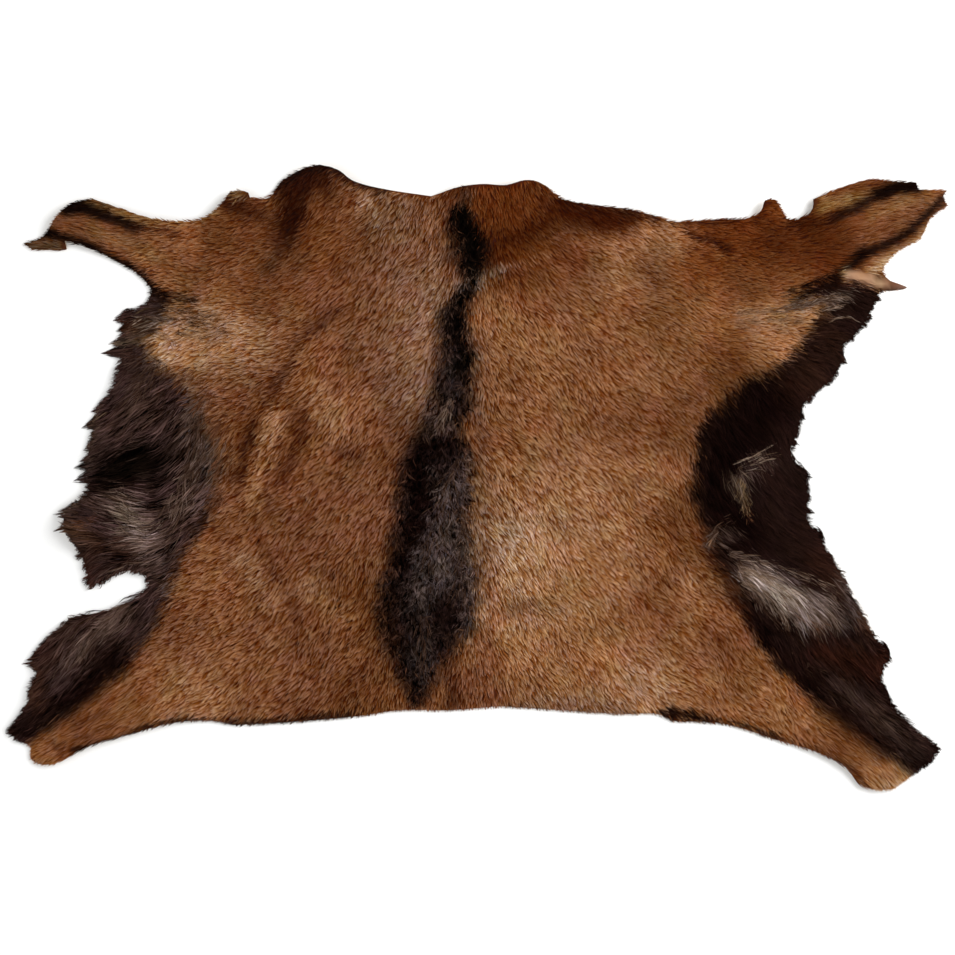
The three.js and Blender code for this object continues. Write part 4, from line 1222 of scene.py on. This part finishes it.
class GOATSKIN_OT_belly_hair(bpy.types.Operator):
    """Grow the long shaggy hair of both flanks"""
    bl_idname = "goatskin.belly_hair"
    bl_label = "Belly hair"

    def execute(self, context):
        sizes = context.scene.goatskin_sizes

        def weight(ground, x, y):
            return smoothstep((ground.read("belly", x, y) + 3) / 12)

        for number, (side, box) in enumerate(BELLY_BOXES.items()):
            rng = draws(21 + number)
            x, y = scatter(rng, sizes.belly_density, weight, box)
            deep = smoothstep(shared(Skin).read("belly", x, y) / 30)
            length = sizes.belly_hair / MM * (0.45 + 0.55 * deep)
            grow(f"belly_hair_{side}", x, y, length, np.full(len(x), BELLY_WIDTH), lift=15, rng=rng,
                 overhang=rng.uniform(-1.5, 1.0, len(x)), reach=5.5, pull=0.45, bunch=3.4, spread=0.13,
                 shades=(0.03, 2.7), skew=1.5, shares=LONG_HAIR, wave=0.05, fade=(0.5, 1.15),
                 kind=GREY_HAIR, wander=3.0, shag=11.0)
        return {"FINISHED"}


class GOATSKIN_OT_rim_tufts(bpy.types.Operator):
    """Lay the tufts of long hair that stand out past the rim"""
    bl_idname = "goatskin.rim_tufts"
    bl_label = "Rim tufts"

    def execute(self, context):
        rng = draws(41)
        hairs = 130
        ground = shared(Skin)
        stops = [[] for _ in LONG_HAIR]
        colours = []
        for root, tip, width in TUFTS:
            root, tip = np.array(root, float), np.array(tip, float)
            ahead = (tip - root) / np.linalg.norm(tip - root)
            side = np.array([-ahead[1], ahead[0]])
            point = rng.integers(-2, 3, hairs) / 2  # a tuft ends in five points, the middle one the longest
            off = (0.48 * point + rng.normal(0, 0.1, hairs)) * width
            start = root + side * off[:, None] - ahead * rng.uniform(0, 10, hairs)[:, None]
            short = 0.45 * np.abs(point) ** 1.3 + rng.uniform(0, 0.3, hairs)  # of the tuft's length
            end = tip + side * (0.3 * point * width)[:, None] - (tip - root) * short[:, None]
            end += rng.normal(0, 0.4, (hairs, 2))
            bow = rng.normal(0, 1.0, hairs) + 0.10 * off  # how far a hair curves to the side
            for k, share in enumerate(LONG_HAIR):
                stops[k].append(start + (end - start) * share
                                + side * (bow * math.sin(math.pi * share))[:, None])
            value = 0.1 + 2.0 * rng.random(hairs) ** 1.3
            colours.append(ground.colour(start[:, 0], start[:, 1]) * value[:, None])
        stops = [np.concatenate(rows) for rows in stops]
        count = len(stops[0])
        lift = rng.uniform(1.0, 3.5, count)
        rises = [lift * math.sin(math.pi * (0.9 * share + 0.1)) for share in LONG_HAIR]
        strands("rim_tufts", stops, LONG_HAIR, rises, np.full(count, TUFT_WIDTH), np.concatenate(colours),
                fade=(0.5, 1.1), kind=GREY_HAIR, rng=rng)
        return {"FINISHED"}


class GOATSKIN_OT_locks(bpy.types.Operator):
    """Lay the locks of pale, grey and long hair over the coat"""
    bl_idname = "goatskin.locks"
    bl_label = "Locks"

    def execute(self, context):
        rng = draws(31)
        stops = [[] for _ in LONG_HAIR]
        colours = []
        for points, spread, count, length, name in LOCKS:
            line = np.array(smooth_through(points, step=2) + [np.array(points[-1], float)])
            steps = np.linalg.norm(np.diff(line, axis=0), axis=1)
            travelled = np.concatenate([[0], np.cumsum(steps)])
            reach = length * rng.uniform(0.6, 1.1, count)
            start = rng.uniform(-0.15, 1, count) * np.maximum(travelled[-1] - 0.85 * reach, 1)
            off = rng.normal(0, 0.5, count) * spread
            phase = rng.uniform(0, 2 * math.pi, count)
            for k, share in enumerate(LONG_HAIR):
                along = start + share * reach
                at, before, after = (self.on_line(along + step, travelled, line) for step in (0, -3, 3))
                ahead = after - before
                ahead /= np.linalg.norm(ahead, axis=1, keepdims=True) + 1e-9
                past = along - np.clip(along, 0, travelled[-1])
                fan = off * (0.7 + 0.6 * share) + 0.5 * np.sin(phase + 5 * share)  # opens out, and waves
                stops[k].append(at + ahead * past[:, None] + sideways(ahead) * fan[:, None])
            value = rng.uniform(0.15, 1.1, count)
            colours.append(linear(PALETTE[name]) * toned(value, GREY_HAIR))
        stops = [np.concatenate(rows) for rows in stops]
        inside = shared(Skin).read("edge", stops[-1][:, 0], stops[-1][:, 1]) > 0
        stops = [at[inside] for at in stops]
        count = len(stops[0])
        lift = rng.uniform(2.5, 6.5, count)
        rises = [lift * (0.4 + 0.6 * math.sin(math.pi * 0.8 * share)) for share in LONG_HAIR]
        gain = 1.2  # loose hairs on top shade each other little, so this stands in for their kind's gain
        colours = np.concatenate(colours)[inside] / GREY_HAIR[0] * gain
        strands("locks", stops, LONG_HAIR, rises, np.full(count, LOCK_WIDTH), colours, fade=(0.6, 1.05),
                kind=GREY_HAIR, rng=rng)
        return {"FINISHED"}

    def on_line(self, along, travelled, line):
        """The places that lie along a line by these distances from its start, or its nearer end."""
        return np.stack([np.interp(along, travelled, axis) for axis in line.T], axis=-1)


class GOATSKIN_OT_stage(bpy.types.Operator):
    """Set the pale floor, the soft lights and the camera straight above the skin"""
    bl_idname = "goatskin.stage"
    bl_label = "Stage"

    def execute(self, context):
        scene = context.scene
        bpy.ops.object.select_all(action="DESELECT")
        bpy.ops.mesh.primitive_plane_add(size=8, location=(0, 0, 0))
        floor = context.object
        floor.name = "floor"
        paint = bpy.data.materials.new("matt_white_floor")
        paint.use_nodes = True
        shader = paint.node_tree.nodes["Principled BSDF"]
        shader.inputs["Base Color"].default_value = (*scene.goatskin_colours.floor, 1)
        shader.inputs["Roughness"].default_value = 0.9
        shader.inputs["Specular IOR Level"].default_value = 0.1
        floor.data.materials.append(paint)

        world = bpy.data.worlds.new("studio")
        world.use_nodes = True
        world.node_tree.nodes["Background"].inputs["Color"].default_value = (1, 1, 1, 1)
        world.node_tree.nodes["Background"].inputs["Strength"].default_value = 0.66
        scene.world = world

        self.lamp("key", (1.9, 0.7, 1.6), size=1.6, watts=62)
        self.lamp("fill", (-1.6, -0.6, 2.0), size=2.4, watts=16)

        bpy.ops.object.select_all(action="DESELECT")
        height = 2.5
        coat_height = 0.012
        seen_width = 0.955  # how much the picture takes in at the height of the coat
        bpy.ops.object.camera_add(location=(-0.0005, 0.0005, height), rotation=(0, 0, 0))
        camera = context.object
        camera.name = "camera"
        camera.data.sensor_width = 36
        camera.data.lens = 36 * (height - coat_height) / seen_width
        scene.camera = camera
        scene.view_settings.view_transform = "Standard"
        scene.view_settings.look = "None"
        return {"FINISHED"}

    def lamp(self, name, place, size, watts):
        """A square soft light that faces the origin."""
        bpy.ops.object.light_add(type="AREA", location=place)
        made = bpy.context.object
        made.name = name
        made.data.size = size
        made.data.energy = watts
        made.rotation_euler = (-Vector(place)).to_track_quat("-Z", "Y").to_euler()


PIECES = (GOATSKIN_OT_stage, GOATSKIN_OT_hide, GOATSKIN_OT_back_coat, GOATSKIN_OT_mane,
          GOATSKIN_OT_belly_hair, GOATSKIN_OT_rim_tufts, GOATSKIN_OT_locks)


class GOATSKIN_PT_panel(bpy.types.Panel):
    bl_label = "Goatskin"
    bl_idname = "GOATSKIN_PT_panel"
    bl_space_type = "VIEW_3D"
    bl_region_type = "UI"
    bl_category = "Goatskin"

    def draw(self, context):
        for group in (context.scene.goatskin_sizes, context.scene.goatskin_colours):
            for name in group.__annotations__:
                self.layout.prop(group, name)
        for piece in PIECES:
            self.layout.operator(piece.bl_idname)


CLASSES = (GoatskinSizes, GoatskinColours) + PIECES + (GOATSKIN_PT_panel,)


def register():
    for each in CLASSES:
        bpy.utils.register_class(each)
    bpy.types.Scene.goatskin_sizes = bpy.props.PointerProperty(type=GoatskinSizes)
    bpy.types.Scene.goatskin_colours = bpy.props.PointerProperty(type=GoatskinColours)


def unregister():
    del bpy.types.Scene.goatskin_sizes
    del bpy.types.Scene.goatskin_colours
    for each in reversed(CLASSES):
        bpy.utils.unregister_class(each)


def main():
    register()
    bpy.ops.goatskin.stage()
    bpy.ops.goatskin.hide()
    bpy.ops.goatskin.back_coat()
    bpy.ops.goatskin.mane()
    bpy.ops.goatskin.belly_hair()
    bpy.ops.goatskin.rim_tufts()
    bpy.ops.goatskin.locks()


if __name__ == "__main__":
    main()
